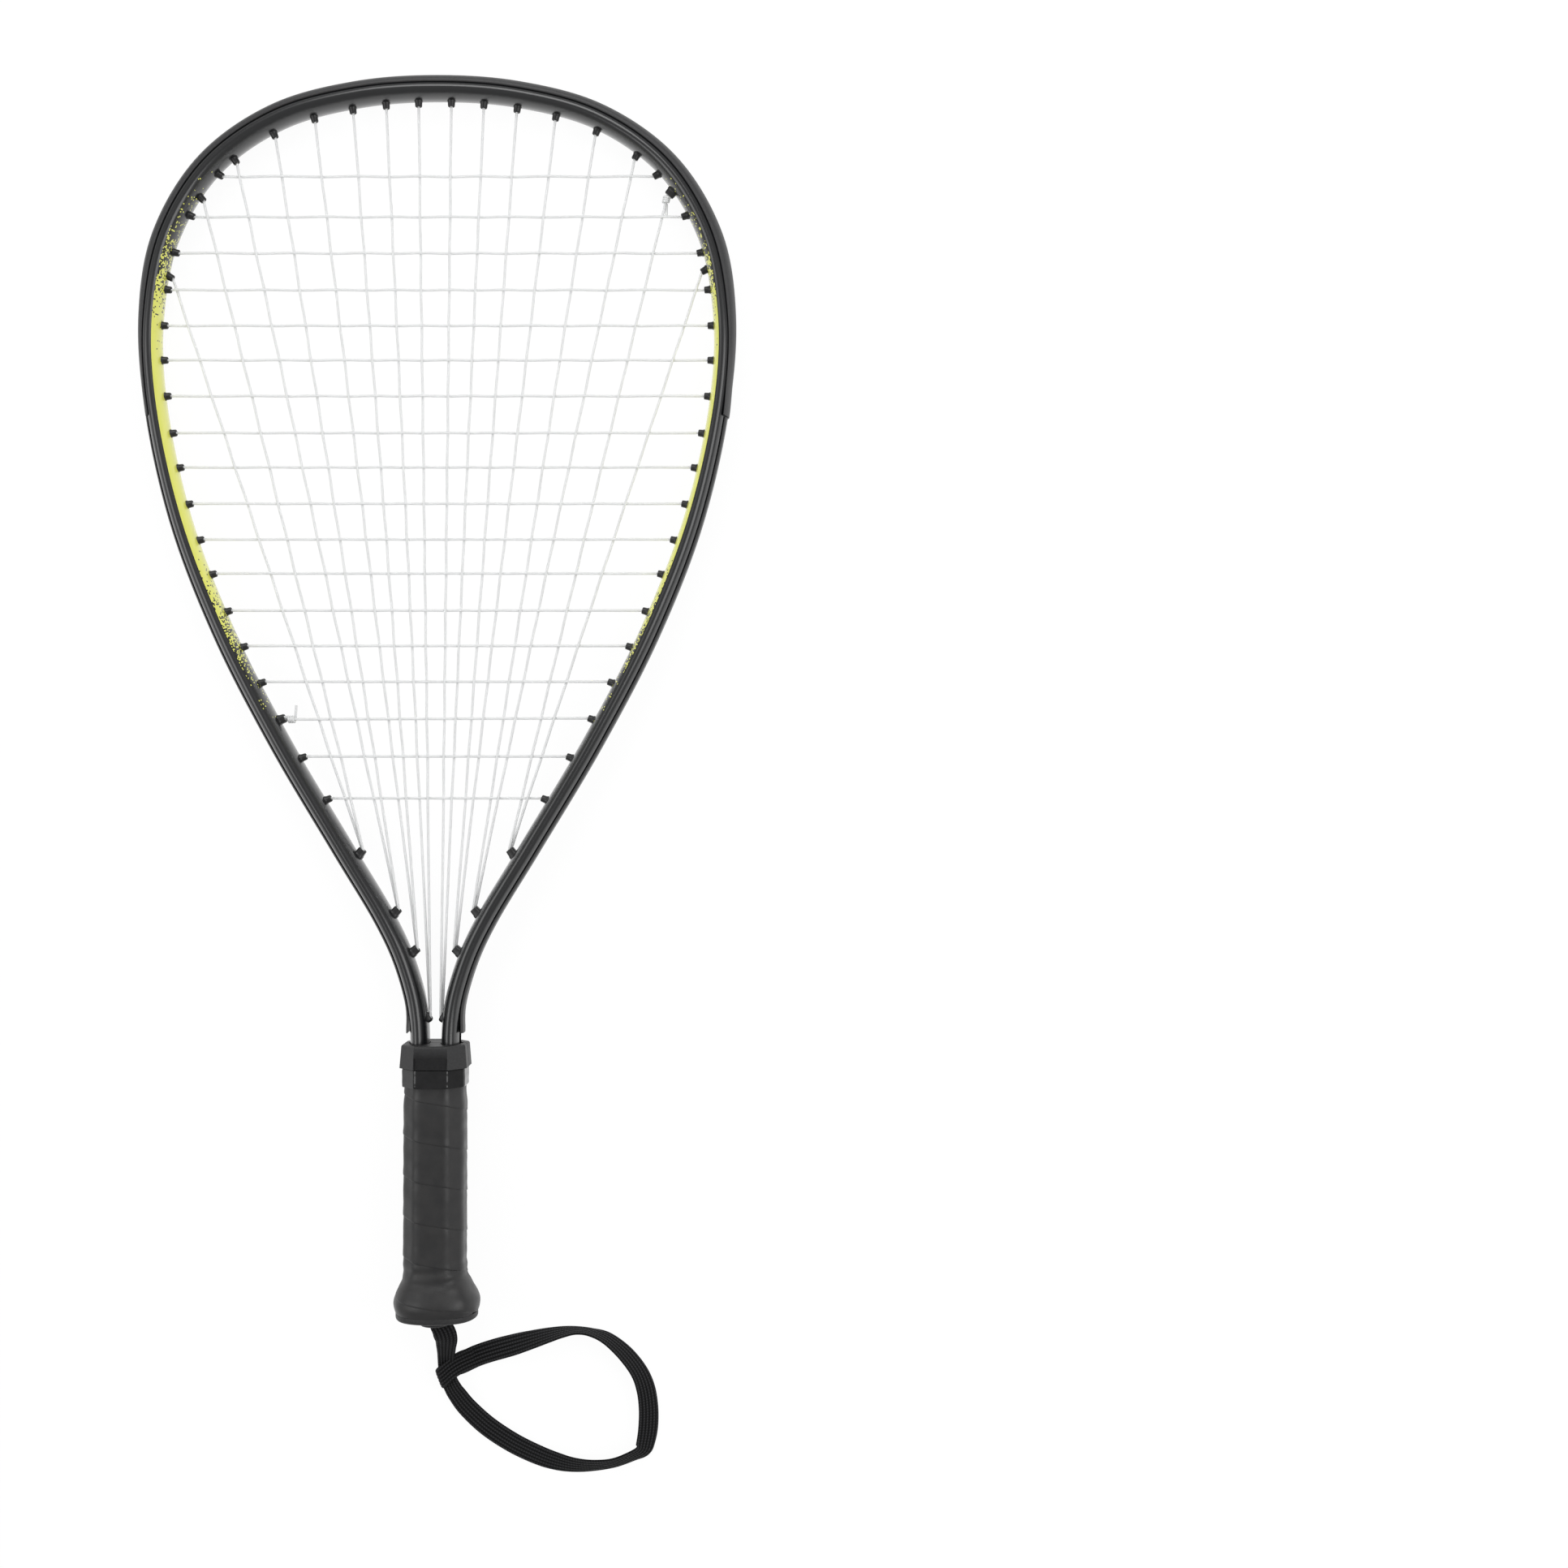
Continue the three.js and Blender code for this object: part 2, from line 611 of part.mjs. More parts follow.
// Knots: a sleeve round the run that the strand is tied to, near the run's start, with its cut tail
function tieKnot(level, tailFrom, tailWay) {
  const way = level[1].clone().sub(level[0]).normalize();
  const at = (along) => level[0].clone().addScaledVector(way, along);
  const outer = scaled(sixSided, boreRadius + knotWall, boreRadius + knotWall);
  const inner = scaled(diamond, boreRadius, boreRadius);
  const [low, high] = [knotLead, knotLead + knotLength];
  const sleeve = toSolid(sweepRoute([at(low), at(high)], () => outer));
  const bore = toSolid(sweepRoute([at(low - cutOverrun), at(high + cutOverrun)], () => inner));
  const root = at((low + high) / 2).addScaledVector(tailFrom, boreRadius + knotWall / 2);
  const tip = root.clone().addScaledVector(tailWay, tailLength);
  return toGeometry(sleeve.subtract(bore).add(toSolid(sweepRoute([root, tip], () => strandSection))));
}

// The tail at the head lies beside the main, the one at the side points towards the head
function headTieKnot() {
  const level = levelPoints(mainRun(tiedMain), 1);
  const way = level[1].clone().sub(level[0]).normalize();
  const side = new THREE.Vector3(-way.y, way.x, 0);
  return tieKnot(level, side, way.addScaledVector(side, tailLeanShare).normalize());
}

function sideTieKnot() {
  const headward = new THREE.Vector3(0, 1, 0);
  return tieKnot(levelPoints(crossRun(tiedCross), -1), headward, headward);
}

// Handle: every part of it is an octagon with the same shares of flats
const octagonShares = [
  [1, sideFlatShare], [frontFlatShare, 1], [-frontFlatShare, 1], [-1, sideFlatShare],
  [-1, -sideFlatShare], [-frontFlatShare, -1], [frontFlatShare, -1], [1, -sideFlatShare],
];
const octagonOutline = outlineOf(octagonShares);

function octagonRing(height, [halfWidth, halfDepth]) {
  return octagonShares.map(([x, z]) => new THREE.Vector3(x * halfWidth, height, z * halfDepth));
}

const octagonLoft = (rows) => toSolid(loft(rows.map((row) => octagonRing(...row)), octagonOutline));
const grown = (halves, by) => halves.map((half) => half + by);

// Half width and half depth of the wrapped grip at a height, with the butt flare's swell
function gripHalves(height) {
  const below = Math.max(bulgeHeight - height, 0) / (bulgeHeight - gripBottom);
  const above = THREE.MathUtils.clamp((height - bulgeHeight) / (flareLength - bulgeHeight), 0, 1);
  const swell = (1 - bulgeDropShare * below ** 2) * ((1 + Math.cos(Math.PI * above)) / 2) ** 2;
  return [
    THREE.MathUtils.lerp(gripWidth, buttWidth, swell) / 2,
    THREE.MathUtils.lerp(gripDepth, buttDepth, swell) / 2,
  ];
}

const carcassHalves = (height) => grown(gripHalves(height), -gripThickness - fitGap);
const palletHalves = carcassHalves(flareLength);
const collarHalves = [collarWidth / 2, collarWidth / 2 * gripDepth / gripWidth];
const collarBottom = collarTop - collarHeight;

function boxBetween(low, high) {
  const size = high.map((value, i) => value - low[i]);
  const geometry = new THREE.BoxGeometry(...size);
  return toSolid(geometry.translate(...low.map((value, i) => value + size[i] / 2)));
}

// The room for a leg of the frame in the shells, with a notch at the collar for the end of its strip
function legRoom(side) {
  const oval = legRoomDegrees.map((degrees) => {
    const angle = THREE.MathUtils.degToRad(degrees);
    return [(tubeHalfWidth + fitGap) * Math.cos(angle), (tubeHalfDepth + fitGap) * Math.sin(angle)];
  });
  const outline = outlineOf(mirrored(oval));
  const ring = (height) => outline.map((p) => new THREE.Vector3(side * legHalfSpacing + p.x, height, p.y));
  const room = toSolid(loft([ring(legEnd - fitGap), ring(collarTop + cutOverrun)], outline));
  const edge = side * (legHalfSpacing + tubeHalfWidth);
  const [low, high] = [edge - side * tubeHalfWidth, edge + side * notchReach].sort((a, b) => a - b);
  const top = collarTop + cutOverrun;
  return room.add(boxBetween([low, collarTop - notchHeight, -notchHalfDepth], [high, top, notchHalfDepth]));
}

const screwHeadTop = palletHalves[1] - screwSink;
const screwHeadBottom = screwHeadTop - screwHeadHeight;

function screwRoom(height) {
  const shank = rod(screwDiameter / 2 + fitGap, -screwHeadTop, screwLength - screwHeadTop + fitGap, 8);
  const headRadius = screwHeadDiameter / 2 + fitGap;
  const head = rod(headRadius, -screwHeadTop - cutOverrun, fitGap - screwHeadBottom, 10);
  return shank.add(head).rotate([90, 0, 0]).translate([0, height, 0]);
}

// Handle shell: one half of the pallet and collar, split along the frame's plane
function handleShell(side) {
  const flared = grown(collarHalves, collarFlare);
  const whole = octagonLoft([
    [shellBottom, palletHalves], [collarBottom, palletHalves], [collarBottom, flared],
    [collarTop - collarChamfer, collarHalves], [collarTop, grown(collarHalves, -collarChamfer)],
  ]);
  const wide = collarWidth;
  const [bottom, top] = [shellBottom - cutOverrun, collarTop + cutOverrun];
  const [near, far] = [side * fitGap / 2, side * wide].sort((a, b) => a - b);
  const half = whole.intersect(boxBetween([-wide, bottom, near], [wide, top, far]));
  const face = side * (flared[1] - panelDepth);
  const [low, high] = [face, side * wide].sort((a, b) => a - b);
  const panel = boxBetween(
    [-collarHalves[0] * frontFlatShare, collarBottom, low],
    [collarHalves[0] * frontFlatShare, collarBottom + panelHeight, high],
  );
  return toGeometry(cut(half, [legRoom(-1), legRoom(1), panel, ...screwHeights.map(screwRoom)]));
}

function handleScrew() {
  const [headRadius, radius] = [screwHeadDiameter / 2, screwDiameter / 2];
  return toGeometry(turned([
    [0, headRadius], [screwHeadHeight, headRadius], [screwHeadHeight, radius],
    [screwLength - screwPoint, radius], [screwLength, screwTipDiameter / 2],
  ], 10));
}

// Butt cap: a cup over the shells' lower end that gives the flare its form, with room for the inner knot
function buttCap() {
  const rim = grown(gripHalves(gripBottom), -fitGap);
  const ledge = gripBottom - fitGap;
  const outer = octagonLoft([
    [0, grown(rim, -rimRound)], [rimRound, rim], [ledge, rim],
    ...[ledge, ...capHeightShares.map((share) => ledge + share * (capTop - ledge))].map(
      (height) => [height, grown(carcassHalves(Math.max(height, gripBottom)), -capRoom)],
    ),
  ]);
  const socket = octagonLoft([
    [shellBottom - fitGap, grown(palletHalves, fitGap)], [capTop + cutOverrun, grown(palletHalves, fitGap)],
  ]);
  const knotRoom = rod(knotRoomDiameter / 2, capFloor, shellBottom, 12);
  const plugHole = rod(plugSpigotDiameter / 2 + fitGap, -cutOverrun, capFloor + cutOverrun, 16);
  return toGeometry(cut(outer, [socket, knotRoom, plugHole]));
}

// Butt plug: a domed disc on a spigot, slotted for the doubled cord
function buttPlug() {
  const [radius, spigot] = [plugDiameter / 2, plugSpigotDiameter / 2];
  const plug = turned([
    [-plugReach, radius - plugRound], [plugRound - plugReach, radius], [-fitGap, radius],
    [-fitGap, spigot], [capFloor, spigot],
  ], 16);
  const halfStub = stubLayers * cordThickness / 2;
  const halfSlot = [cordWidth / 2 + fitGap, plugReach + cutOverrun, halfStub + fitGap];
  const slot = boxBetween(halfSlot.map((half) => -half), [halfSlot[0], capFloor + cutOverrun, halfSlot[2]]);
  return toGeometry(plug.subtract(slot));
}

// Grip: one strip of tape wound up the handle, its ends cut to lie level, and thinner under the tape
function wrapThickness(height) {
  const ramp = gripStripWidth / (stripPoints - 1);
  const taped = gripTop - tapeWidth - fitGap;
  const thinned = tapeThickness - tapeStand + fitGap;
  return gripThickness - thinned * THREE.MathUtils.smoothstep(height, taped - 2 * ramp, taped - ramp / 2);
}

function gripRings() {
  const firstMiddle = gripBottom + leastStripWidth - gripStripWidth / 2;
  const rings = [];
  for (let step = 0; ; step += 1) {
    const middle = firstMiddle + gripPitch * step / octagonShares.length;
    const low = Math.max(middle - gripStripWidth / 2, gripBottom);
    const high = Math.min(middle + gripStripWidth / 2, gripTop);
    if (high - low < leastStripWidth - weldTolerance) return rings;
    const [x, z] = octagonShares[step % octagonShares.length];
    const stepUp = (high - low) / (stripPoints - 1);
    const heights = Array.from({ length: stripPoints }, (_, i) => low + stepUp * i);
    const at = (height, inset) => {
      const [halfWidth, halfDepth] = grown(gripHalves(height), -inset);
      return new THREE.Vector3(x * halfWidth, height, z * halfDepth);
    };
    const inner = heights.map((height) => at(height, gripThickness));
    const outer = heights.map((height) => at(height, gripThickness - wrapThickness(height))).reverse();
    rings.push([...inner, ...outer]);
  }
}

function gripWrap() {
  const rings = gripRings();
  const row = Array.from({ length: stripPoints }, (_, i) => [i, 0]);
  const outline = [...row, ...row.map(([i]) => [i, 1]).reverse()];
  const gap = leastTurnGap(rings);
  console.log(`Least gap between turns of the grip strip: ${gap.toFixed(2)} mm`);
  return loft(rings, outline.map(([x, y]) => new THREE.Vector2(x, y)));
}

// The least distance between the facing edges of two turns that lie side by side, on their points
function leastTurnGap(rings) {
  const turn = octagonShares.length;
  const gaps = rings.slice(turn).map((ring, i) => {
    const below = rings[i];
    return Math.min(
      ring[0].distanceTo(below[stripPoints - 1]),
      ring.at(-1).distanceTo(below[stripPoints]),
    );
  });
  return Math.min(...gaps);
}

function finishingTape() {
  const outer = grown(gripHalves(gripTop), tapeStand);
  const inner = grown(outer, -tapeThickness);
  const [low, high] = [gripTop - tapeWidth, gripTop];
  const room = octagonLoft([[low - cutOverrun, inner], [high + cutOverrun, inner]]);
  return toGeometry(octagonLoft([[low, outer], [high, outer]]).subtract(room));
}

// How the racket lies: tilted so that the butt flare and the head of the tube touch the table
const middleLength = (overallLength - plugReach) / 2;
const tilt = Math.atan2((buttDepth - tubeDepth) / 2, headTop - bulgeHeight);
const middleHeight = tubeHalfDepth * Math.cos(tilt) + (headTop - middleLength) * Math.sin(tilt);

// Cord solids lie on the table, so their routes are in the part's own frame
const braidShares = mirrored([[1, 0.5], [0.86, 1], [-0.86, 1], [-1, 0.5]]);

function cordAlong(route, layers, widthShareAt) {
  const points = route.map(([x, y, z]) => new THREE.Vector3(x, y - middleLength, z));
  const rolled = (i) => {
    const roll = THREE.MathUtils.degToRad(route[i][3]);
    const section = scaled(braidShares, widthShareAt(i) * cordWidth / 2, layers * cordThickness / 2);
    return section.map(([a, u]) => [
      a * Math.cos(roll) - u * Math.sin(roll), a * Math.sin(roll) + u * Math.cos(roll),
    ]);
  };
  return sweepRoute(points, rolled);
}

function knotLump({ width, length, height }) {
  const lump = new THREE.IcosahedronGeometry(1, 1);
  return lump.scale(width / 2, length / 2, height / 2);
}

// Materials
function finish(color, roughness, metalness = 0) {
  return new THREE.MeshStandardMaterial({ color, roughness, metalness });
}

const blackPaint = finish('#232426', 0.35, 0.4);
const bumperNylon = finish('#4a4a4b', 0.7);
const grommetNylon = finish('#2b2b2c', 0.5);
const clearGut = finish('#eceded', 0.25);
const mouldedPlastic = finish('#3f4042', 0.65);
const paleSteel = finish('#b9bcc0', 0.35, 1);
const gripFoam = finish('#3d3d3e', 0.6);
const glossTape = finish('#2c2b2c', 0.3);
const blackBraid = finish('#1f1f20', 0.9);

// Assembly
const part = new THREE.Group();
const lying = new THREE.Group();
lying.position.z = middleHeight;
lying.rotation.x = -tilt;
const racket = new THREE.Group();
racket.position.y = -middleLength;
lying.add(racket);
part.add(lying);

function addPiece(parent, name, geometry, material) {
  const mesh = new THREE.Mesh(geometry, material);
  mesh.name = name;
  parent.add(mesh);
  return mesh;
}

const stripEnd = halfLength - stripEndAboveCollar;
const headSplit = headSplitShare * halfLength;
const throatSplit = throatSplitShare * halfLength;
const sideStrip = [headSplit + fitGap, throatSplit - fitGap];
const throatStrip = [throatSplit + fitGap, stripEnd];
const mirrorSpan = ([from, to]) => [-to, -from];

addPiece(racket, 'frame_tube', frameTube(), blackPaint);
addPiece(racket, 'bumper_guard', sweepFrame(bumperOutline, -headSplit, headSplit), bumperNylon);
addPiece(racket, 'head_grommet_strip', grommetStrip(-headSplit, headSplit), grommetNylon);
for (const [name, along] of [['left', mirrorSpan], ['right', (span) => span]]) {
  addPiece(racket, `${name}_grommet_strip`, grommetStrip(...along(sideStrip)), grommetNylon);
  addPiece(racket, `${name}_throat_grommet_strip`, grommetStrip(...along(throatStrip)), grommetNylon);
  const cover = sweepFrame(coverOutline, ...along([headSplit + fitGap, stripEnd]));
  addPiece(racket, `${name}_cover_strip`, cover, bumperNylon);
}
addPiece(racket, 'string_bed', strand(), clearGut);
addPiece(racket, 'head_tie_knot', headTieKnot(), clearGut);
addPiece(racket, 'side_tie_knot', sideTieKnot(), clearGut);

addPiece(racket, 'front_handle_shell', handleShell(1), mouldedPlastic);
addPiece(racket, 'back_handle_shell', handleShell(-1), mouldedPlastic);
screwHeights.forEach((height, i) => {
  const screw = addPiece(racket, `${['lower', 'upper'][i]}_handle_screw`, handleScrew(), paleSteel);
  screw.rotation.x = Math.PI / 2;
  screw.position.set(0, height, -screwHeadTop);
});
addPiece(racket, 'butt_cap', buttCap(), mouldedPlastic);
addPiece(racket, 'butt_plug', buttPlug(), mouldedPlastic);
addPiece(racket, 'grip_wrap', gripWrap(), gripFoam);
addPiece(racket, 'finishing_tape', finishingTape(), glossTape);
const stopper = addPiece(racket, 'cord_stopper_knot', knotLump(innerKnot), blackBraid);
stopper.position.y = capFloor + fitGap + innerKnot.length / 2;

addPiece(part, 'wrist_cord_stub', cordAlong(stubRoute, stubLayers, (i) => stubWidthShares[i]), blackBraid);
addPiece(part, 'wrist_cord_loop', cordAlong(loopRoute, 1, () => 1), blackBraid);
const knot = addPiece(part, 'wrist_cord_knot', knotLump(outerKnot), blackBraid);
knot.position.set(outerKnot.x, outerKnot.y - middleLength, outerKnot.height / 2 + fitGap);

export default part;
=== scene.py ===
# %% [markdown]
# # A racquetball racket
# The racket lies on a table: a bent aluminium frame with one strand of string, a nylon bumper, a wrapped
# handle and a flat braided wrist cord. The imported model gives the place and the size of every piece, and
# this notebook makes the fine surfaces and the finishes that go over it. Sizes are in millimetres and
# become metres where a mesh is made.

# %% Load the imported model
import math

import bmesh
import bpy
import numpy as np
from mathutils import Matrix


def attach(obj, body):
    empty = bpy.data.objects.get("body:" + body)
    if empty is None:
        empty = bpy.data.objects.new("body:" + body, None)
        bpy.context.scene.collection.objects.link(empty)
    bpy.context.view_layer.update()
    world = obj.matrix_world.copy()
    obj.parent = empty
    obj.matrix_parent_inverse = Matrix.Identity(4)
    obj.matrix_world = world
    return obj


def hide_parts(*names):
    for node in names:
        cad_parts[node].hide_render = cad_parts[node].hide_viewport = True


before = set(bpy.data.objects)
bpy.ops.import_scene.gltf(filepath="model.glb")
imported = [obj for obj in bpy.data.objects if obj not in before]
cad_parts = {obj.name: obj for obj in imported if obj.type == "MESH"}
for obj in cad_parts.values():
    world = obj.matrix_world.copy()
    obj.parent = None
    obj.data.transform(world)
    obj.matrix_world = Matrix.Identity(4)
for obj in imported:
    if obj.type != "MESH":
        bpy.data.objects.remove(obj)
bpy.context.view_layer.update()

# %% [markdown]
# ## Camera
# The photograph was taken square on, with the racket flat to the sensor, from a point over the upper half
# of the picture. A camera that looks straight down from there, with a little shift, gives the same
# framing and shows the same slivers of the inner sides. The picture is taken to be 1932 pixels square.

# %% The camera, over a pixel of the photograph
picture_side = 1932
millimetres_per_pixel = 0.3655
middle_pixel_x = 538.2
butt_pixel_y = 1619
middle_length = 277.65
middle_height = 12.78
camera_foot_pixel = (1000, 880)
camera_distance = 960
sensor_width = 36


def table_place(pixel_x, pixel_y):
    """The point of the racket's plane that a pixel shows, in millimetres from the frame's origin."""
    across = (pixel_x - middle_pixel_x) * millimetres_per_pixel
    along = (butt_pixel_y - pixel_y) * millimetres_per_pixel - middle_length
    return np.array([across, along])


picture_width = picture_side * millimetres_per_pixel
foot = table_place(*camera_foot_pixel)
picture_middle = table_place(picture_side / 2, picture_side / 2)
camera_data = bpy.data.cameras.new("camera")
camera_data.sensor_width = sensor_width
camera_data.lens = sensor_width * camera_distance / picture_width
camera_data.shift_x, camera_data.shift_y = (picture_middle - foot) / picture_width
camera = bpy.data.objects.new("camera", camera_data)
camera.location = (foot[0] / 1000, foot[1] / 1000, (middle_height + camera_distance) / 1000)
bpy.context.scene.collection.objects.link(camera)
bpy.context.scene.camera = camera
print("lens, mm:", round(camera_data.lens, 1))

# %% [markdown]
# ## Meshes from grids
# Every new surface here is a grid of points: one row for each step along a piece, and in each row a
# closed ring of points round it. Three helpers turn such grids into skins, join several skins in one
# mesh, and give the mesh to Blender.

# %% Skins and pieces
def signed_volume(points, quads):
    """Six times the volume inside a skin: positive where its faces turn outwards."""
    a, b, c, d = (points[quads[:, k]] for k in range(4))
    return (np.cross(b - a, c - a) * a).sum() + (np.cross(c - a, d - a) * a).sum()


def skin(grid, run=None, girth=None, closed_run=False):
    """A grid of (row, ring, xyz) points as (points, faces, a UV for each corner of each face).
    The first and the last ring are closed by a flat face, or joined to each other with closed_run. U is
    run, a value for each row, and V is girth, a value for each point of a ring and one more."""
    rows, ring = grid.shape[:2]
    run = np.arange(rows + 1.0) if run is None else np.append(run, 2 * run[-1] - run[-2])
    girth = np.linspace(0, 1, ring + 1) if girth is None else girth
    steps = rows if closed_run else rows - 1
    i, j = (index.ravel() for index in np.indices((steps, ring)))
    beside, ahead = (j + 1) % ring, (i + 1) % rows
    quads = np.stack([i * ring + j, i * ring + beside, ahead * ring + beside, ahead * ring + j], axis=1)
    corner_u = np.stack([run[i], run[i], run[i + 1], run[i + 1]], axis=1)
    corner_v = np.stack([girth[j], girth[j + 1], girth[j + 1], girth[j]], axis=1)
    points = grid.reshape(-1, 3)
    faces = quads.tolist()
    corners = np.stack([corner_u, corner_v], axis=-1).reshape(-1, 2).tolist()
    if not closed_run:
        first = np.arange(ring)[::-1]
        faces += [first.tolist(), (np.arange(ring) + (rows - 1) * ring).tolist()]
        corners += [(run[0], girth[k]) for k in first] + [(run[rows - 1], girth[k]) for k in range(ring)]
    if signed_volume(points, quads) < 0:
        turned, at = [], 0
        for face in faces:
            turned += corners[at:at + len(face)][::-1]
            at += len(face)
        faces, corners = [face[::-1] for face in faces], turned
    return points, faces, corners


def make_piece(name, skins, material, stands_for, sharp=35):
    """One object of one or more skins, shaded smooth but for edges over an angle in degrees."""
    points, faces, corners, count = [], [], [], 0
    for part_points, part_faces, part_corners in skins:
        points.append(part_points)
        faces += [[count + k for k in face] for face in part_faces]
        corners += part_corners
        count += len(part_points)
    mesh = bpy.data.meshes.new(name)
    mesh.from_pydata((np.concatenate(points) / 1000).tolist(), [], faces)
    mesh.uv_layers.new(name="surface").data.foreach_set("uv", np.array(corners, np.float32).ravel())
    mesh.shade_smooth()
    mesh.set_sharp_from_angle(angle=math.radians(sharp))
    return add_to_racket(name, mesh, material, stands_for)


def add_to_racket(name, mesh, material, stands_for):
    """Links a mesh as a piece of the racket, with its material and the nodes it stands for."""
    piece = bpy.data.objects.new(name, mesh)
    bpy.context.scene.collection.objects.link(piece)
    mesh.materials.clear()
    mesh.materials.append(material)
    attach(piece, "root")
    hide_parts(*stands_for)
    print(f"{name}: {len(mesh.polygons)} faces")
    return piece


def eased(share):
    """A share from 0 to 1, slow at both ends: 3s squared less 2s cubed."""
    held = np.clip(share, 0, 1)
    return held * held * (3 - 2 * held)


# %% [markdown]
# ## Carrying a ring along a route
# A cord, a string or a tube is one cross-section carried along a line. The ring is kept square to the
# line. Its across axis stays level and is then rolled, so that a flat braid can stand on its edge.

# %% Smooth lines and swept rings
def smooth_line(points, count):
    """A Catmull-Rom curve through rows of numbers, as count rows even in their number.
    Between two rows it is the cubic whose slope at each is half the step between its neighbours."""
    points = np.asarray(points, float)
    padded = np.vstack([2 * points[0] - points[1], points, 2 * points[-1] - points[-2]])
    at = np.linspace(0, len(points) - 1, count)
    k = np.minimum(at.astype(int), len(points) - 2)
    t = (at - k)[:, None]
    before, here, after, beyond = (padded[k + n] for n in range(4))
    return 0.5 * (
        2 * here + (after - before) * t + (2 * before - 5 * here + 4 * after - beyond) * t**2
        + (3 * here - before - 3 * after + beyond) * t**3
    )


def run_of(line):
    """The distance along a line at each of its points."""
    return np.concatenate([[0], np.cumsum(np.linalg.norm(np.diff(line[:, :3], axis=0), axis=1))])


def unit_rows(rows):
    """Each row of numbers as a vector of length 1."""
    return rows / np.linalg.norm(rows, axis=1, keepdims=True)


def alike(*values):
    """Numbers and arrays as arrays of one shape."""
    return np.broadcast_arrays(*(np.asarray(value, float) for value in values))


def carry(line, ahead, ring, roll):
    """A ring of (across, up) points carried along a line: the point plus across times the level side plus
    up times the rise. The ring may change from row to row, and the roll in degrees too."""
    ahead = unit_rows(ahead)
    side = unit_rows(np.stack([-ahead[:, 1], ahead[:, 0], np.zeros(len(line))], axis=1))
    rise = np.cross(ahead, side)
    roll = np.radians(roll)[:, None]
    side, rise = side * np.cos(roll) + rise * np.sin(roll), rise * np.cos(roll) - side * np.sin(roll)
    return line[:, None] + ring[..., :1] * side[:, None] + ring[..., 1:] * rise[:, None]


def circle(radius, count):
    """Points evenly round a circle."""
    angle = np.linspace(0, 2 * np.pi, count, endpoint=False)
    return radius * np.stack([np.cos(angle), np.sin(angle)], axis=1)


# %% [markdown]
# ## Finishes
# Each finish is a procedural material built from a few nodes. Colours are written as sRGB hex values, and
# one function turns them to linear light. Patterns are laid out in real millimetres.

# %% Colours and nodes
def linear(hex_colour):
    """An sRGB hex colour as linear red, green, blue and alpha."""
    shares = [int(hex_colour[k:k + 2], 16) / 255 for k in (1, 3, 5)]
    return [s / 12.92 if s <= 0.04045 else ((s + 0.055) / 1.055) ** 2.4 for s in shares] + [1.0]


def add_node(tree, kind, settings=(), values=(), links=()):
    """Adds a node: settings are its own properties, values its input numbers, links its input wires."""
    made = tree.nodes.new(kind)
    for key, value in dict(settings).items():
        setattr(made, key, value)
    for key, value in dict(values).items():
        made.inputs[key].default_value = value
    for key, source in dict(links).items():
        tree.links.new(source, made.inputs[key])
    return made


def new_finish(name, colour, roughness, **sockets):
    """A material with its Principled shader set to those values, the node tree, shader and coordinates."""
    material = bpy.data.materials.new(name)
    material.use_nodes = True
    tree = material.node_tree
    shader = tree.nodes["Principled BSDF"]
    shader.inputs["Base Color"].default_value = linear(colour)
    shader.inputs["Roughness"].default_value = roughness
    for key, value in sockets.items():
        shader.inputs[key.replace("_", " ")].default_value = value
    return material, tree, shader, add_node(tree, "ShaderNodeTexCoord")


def maths(tree, operation, *inputs):
    """What a Math node gives. Each input is a number or what another node gives."""
    numbers = {k: value for k, value in enumerate(inputs) if isinstance(value, (int, float))}
    wires = {k: value for k, value in enumerate(inputs) if k not in numbers}
    return add_node(tree, "ShaderNodeMath", {"operation": operation}, numbers, wires).outputs[0]


def remap(tree, value, low, high, new_low, new_high):
    """A value from low to high, moved in proportion to lie from new_low to new_high."""
    limits = {"From Min": low, "From Max": high, "To Min": new_low, "To Max": new_high}
    return add_node(tree, "ShaderNodeMapRange", {}, limits, {"Value": value}).outputs[0]


def millimetres(tree, source):
    """Coordinates in metres, scaled to millimetres."""
    return add_node(
        tree, "ShaderNodeVectorMath", {"operation": "SCALE"}, {"Scale": 1000.0}, {0: source}
    ).outputs["Vector"]


def noise(tree, where, size, detail, **values):
    """Noise with grains of a size in millimetres, round a half."""
    settings = {"Scale": 1 / size, "Detail": detail, **values}
    return add_node(tree, "ShaderNodeTexNoise", {}, settings, {"Vector": where}).outputs["Fac"]


def emboss(tree, shader, height, depth, strength=1.0):
    """Bump from a height between 0 and 1, for a depth in millimetres."""
    values = {"Strength": strength, "Distance": depth / 1000}
    bump = add_node(tree, "ShaderNodeBump", {}, values, {"Height": height})
    tree.links.new(bump.outputs["Normal"], shader.inputs["Normal"])


def shade(tree, shader, value, dark, light, low, high):
    """Colour from dark where a value is low to light where it is high."""
    ramp = add_node(tree, "ShaderNodeValToRGB", {}, {}, {"Fac": value})
    for stop, position, colour in zip(ramp.color_ramp.elements, (low, high), (dark, light)):
        stop.position, stop.color = position, linear(colour)
    tree.links.new(ramp.outputs["Color"], shader.inputs["Base Color"])


def grain(tree, shader, where, size, depth, detail=3.0):
    """Bump from noise with grains of that size, and heights of that depth, both in millimetres."""
    emboss(tree, shader, noise(tree, where, size, detail, Roughness=0.6), depth)


def mottle(tree, shader, where, size, dark, light, low=0.35, high=0.65):
    """Colour that wanders between two shades in patches of that size in millimetres."""
    shade(tree, shader, noise(tree, where, size, 4.0), dark, light, low, high)


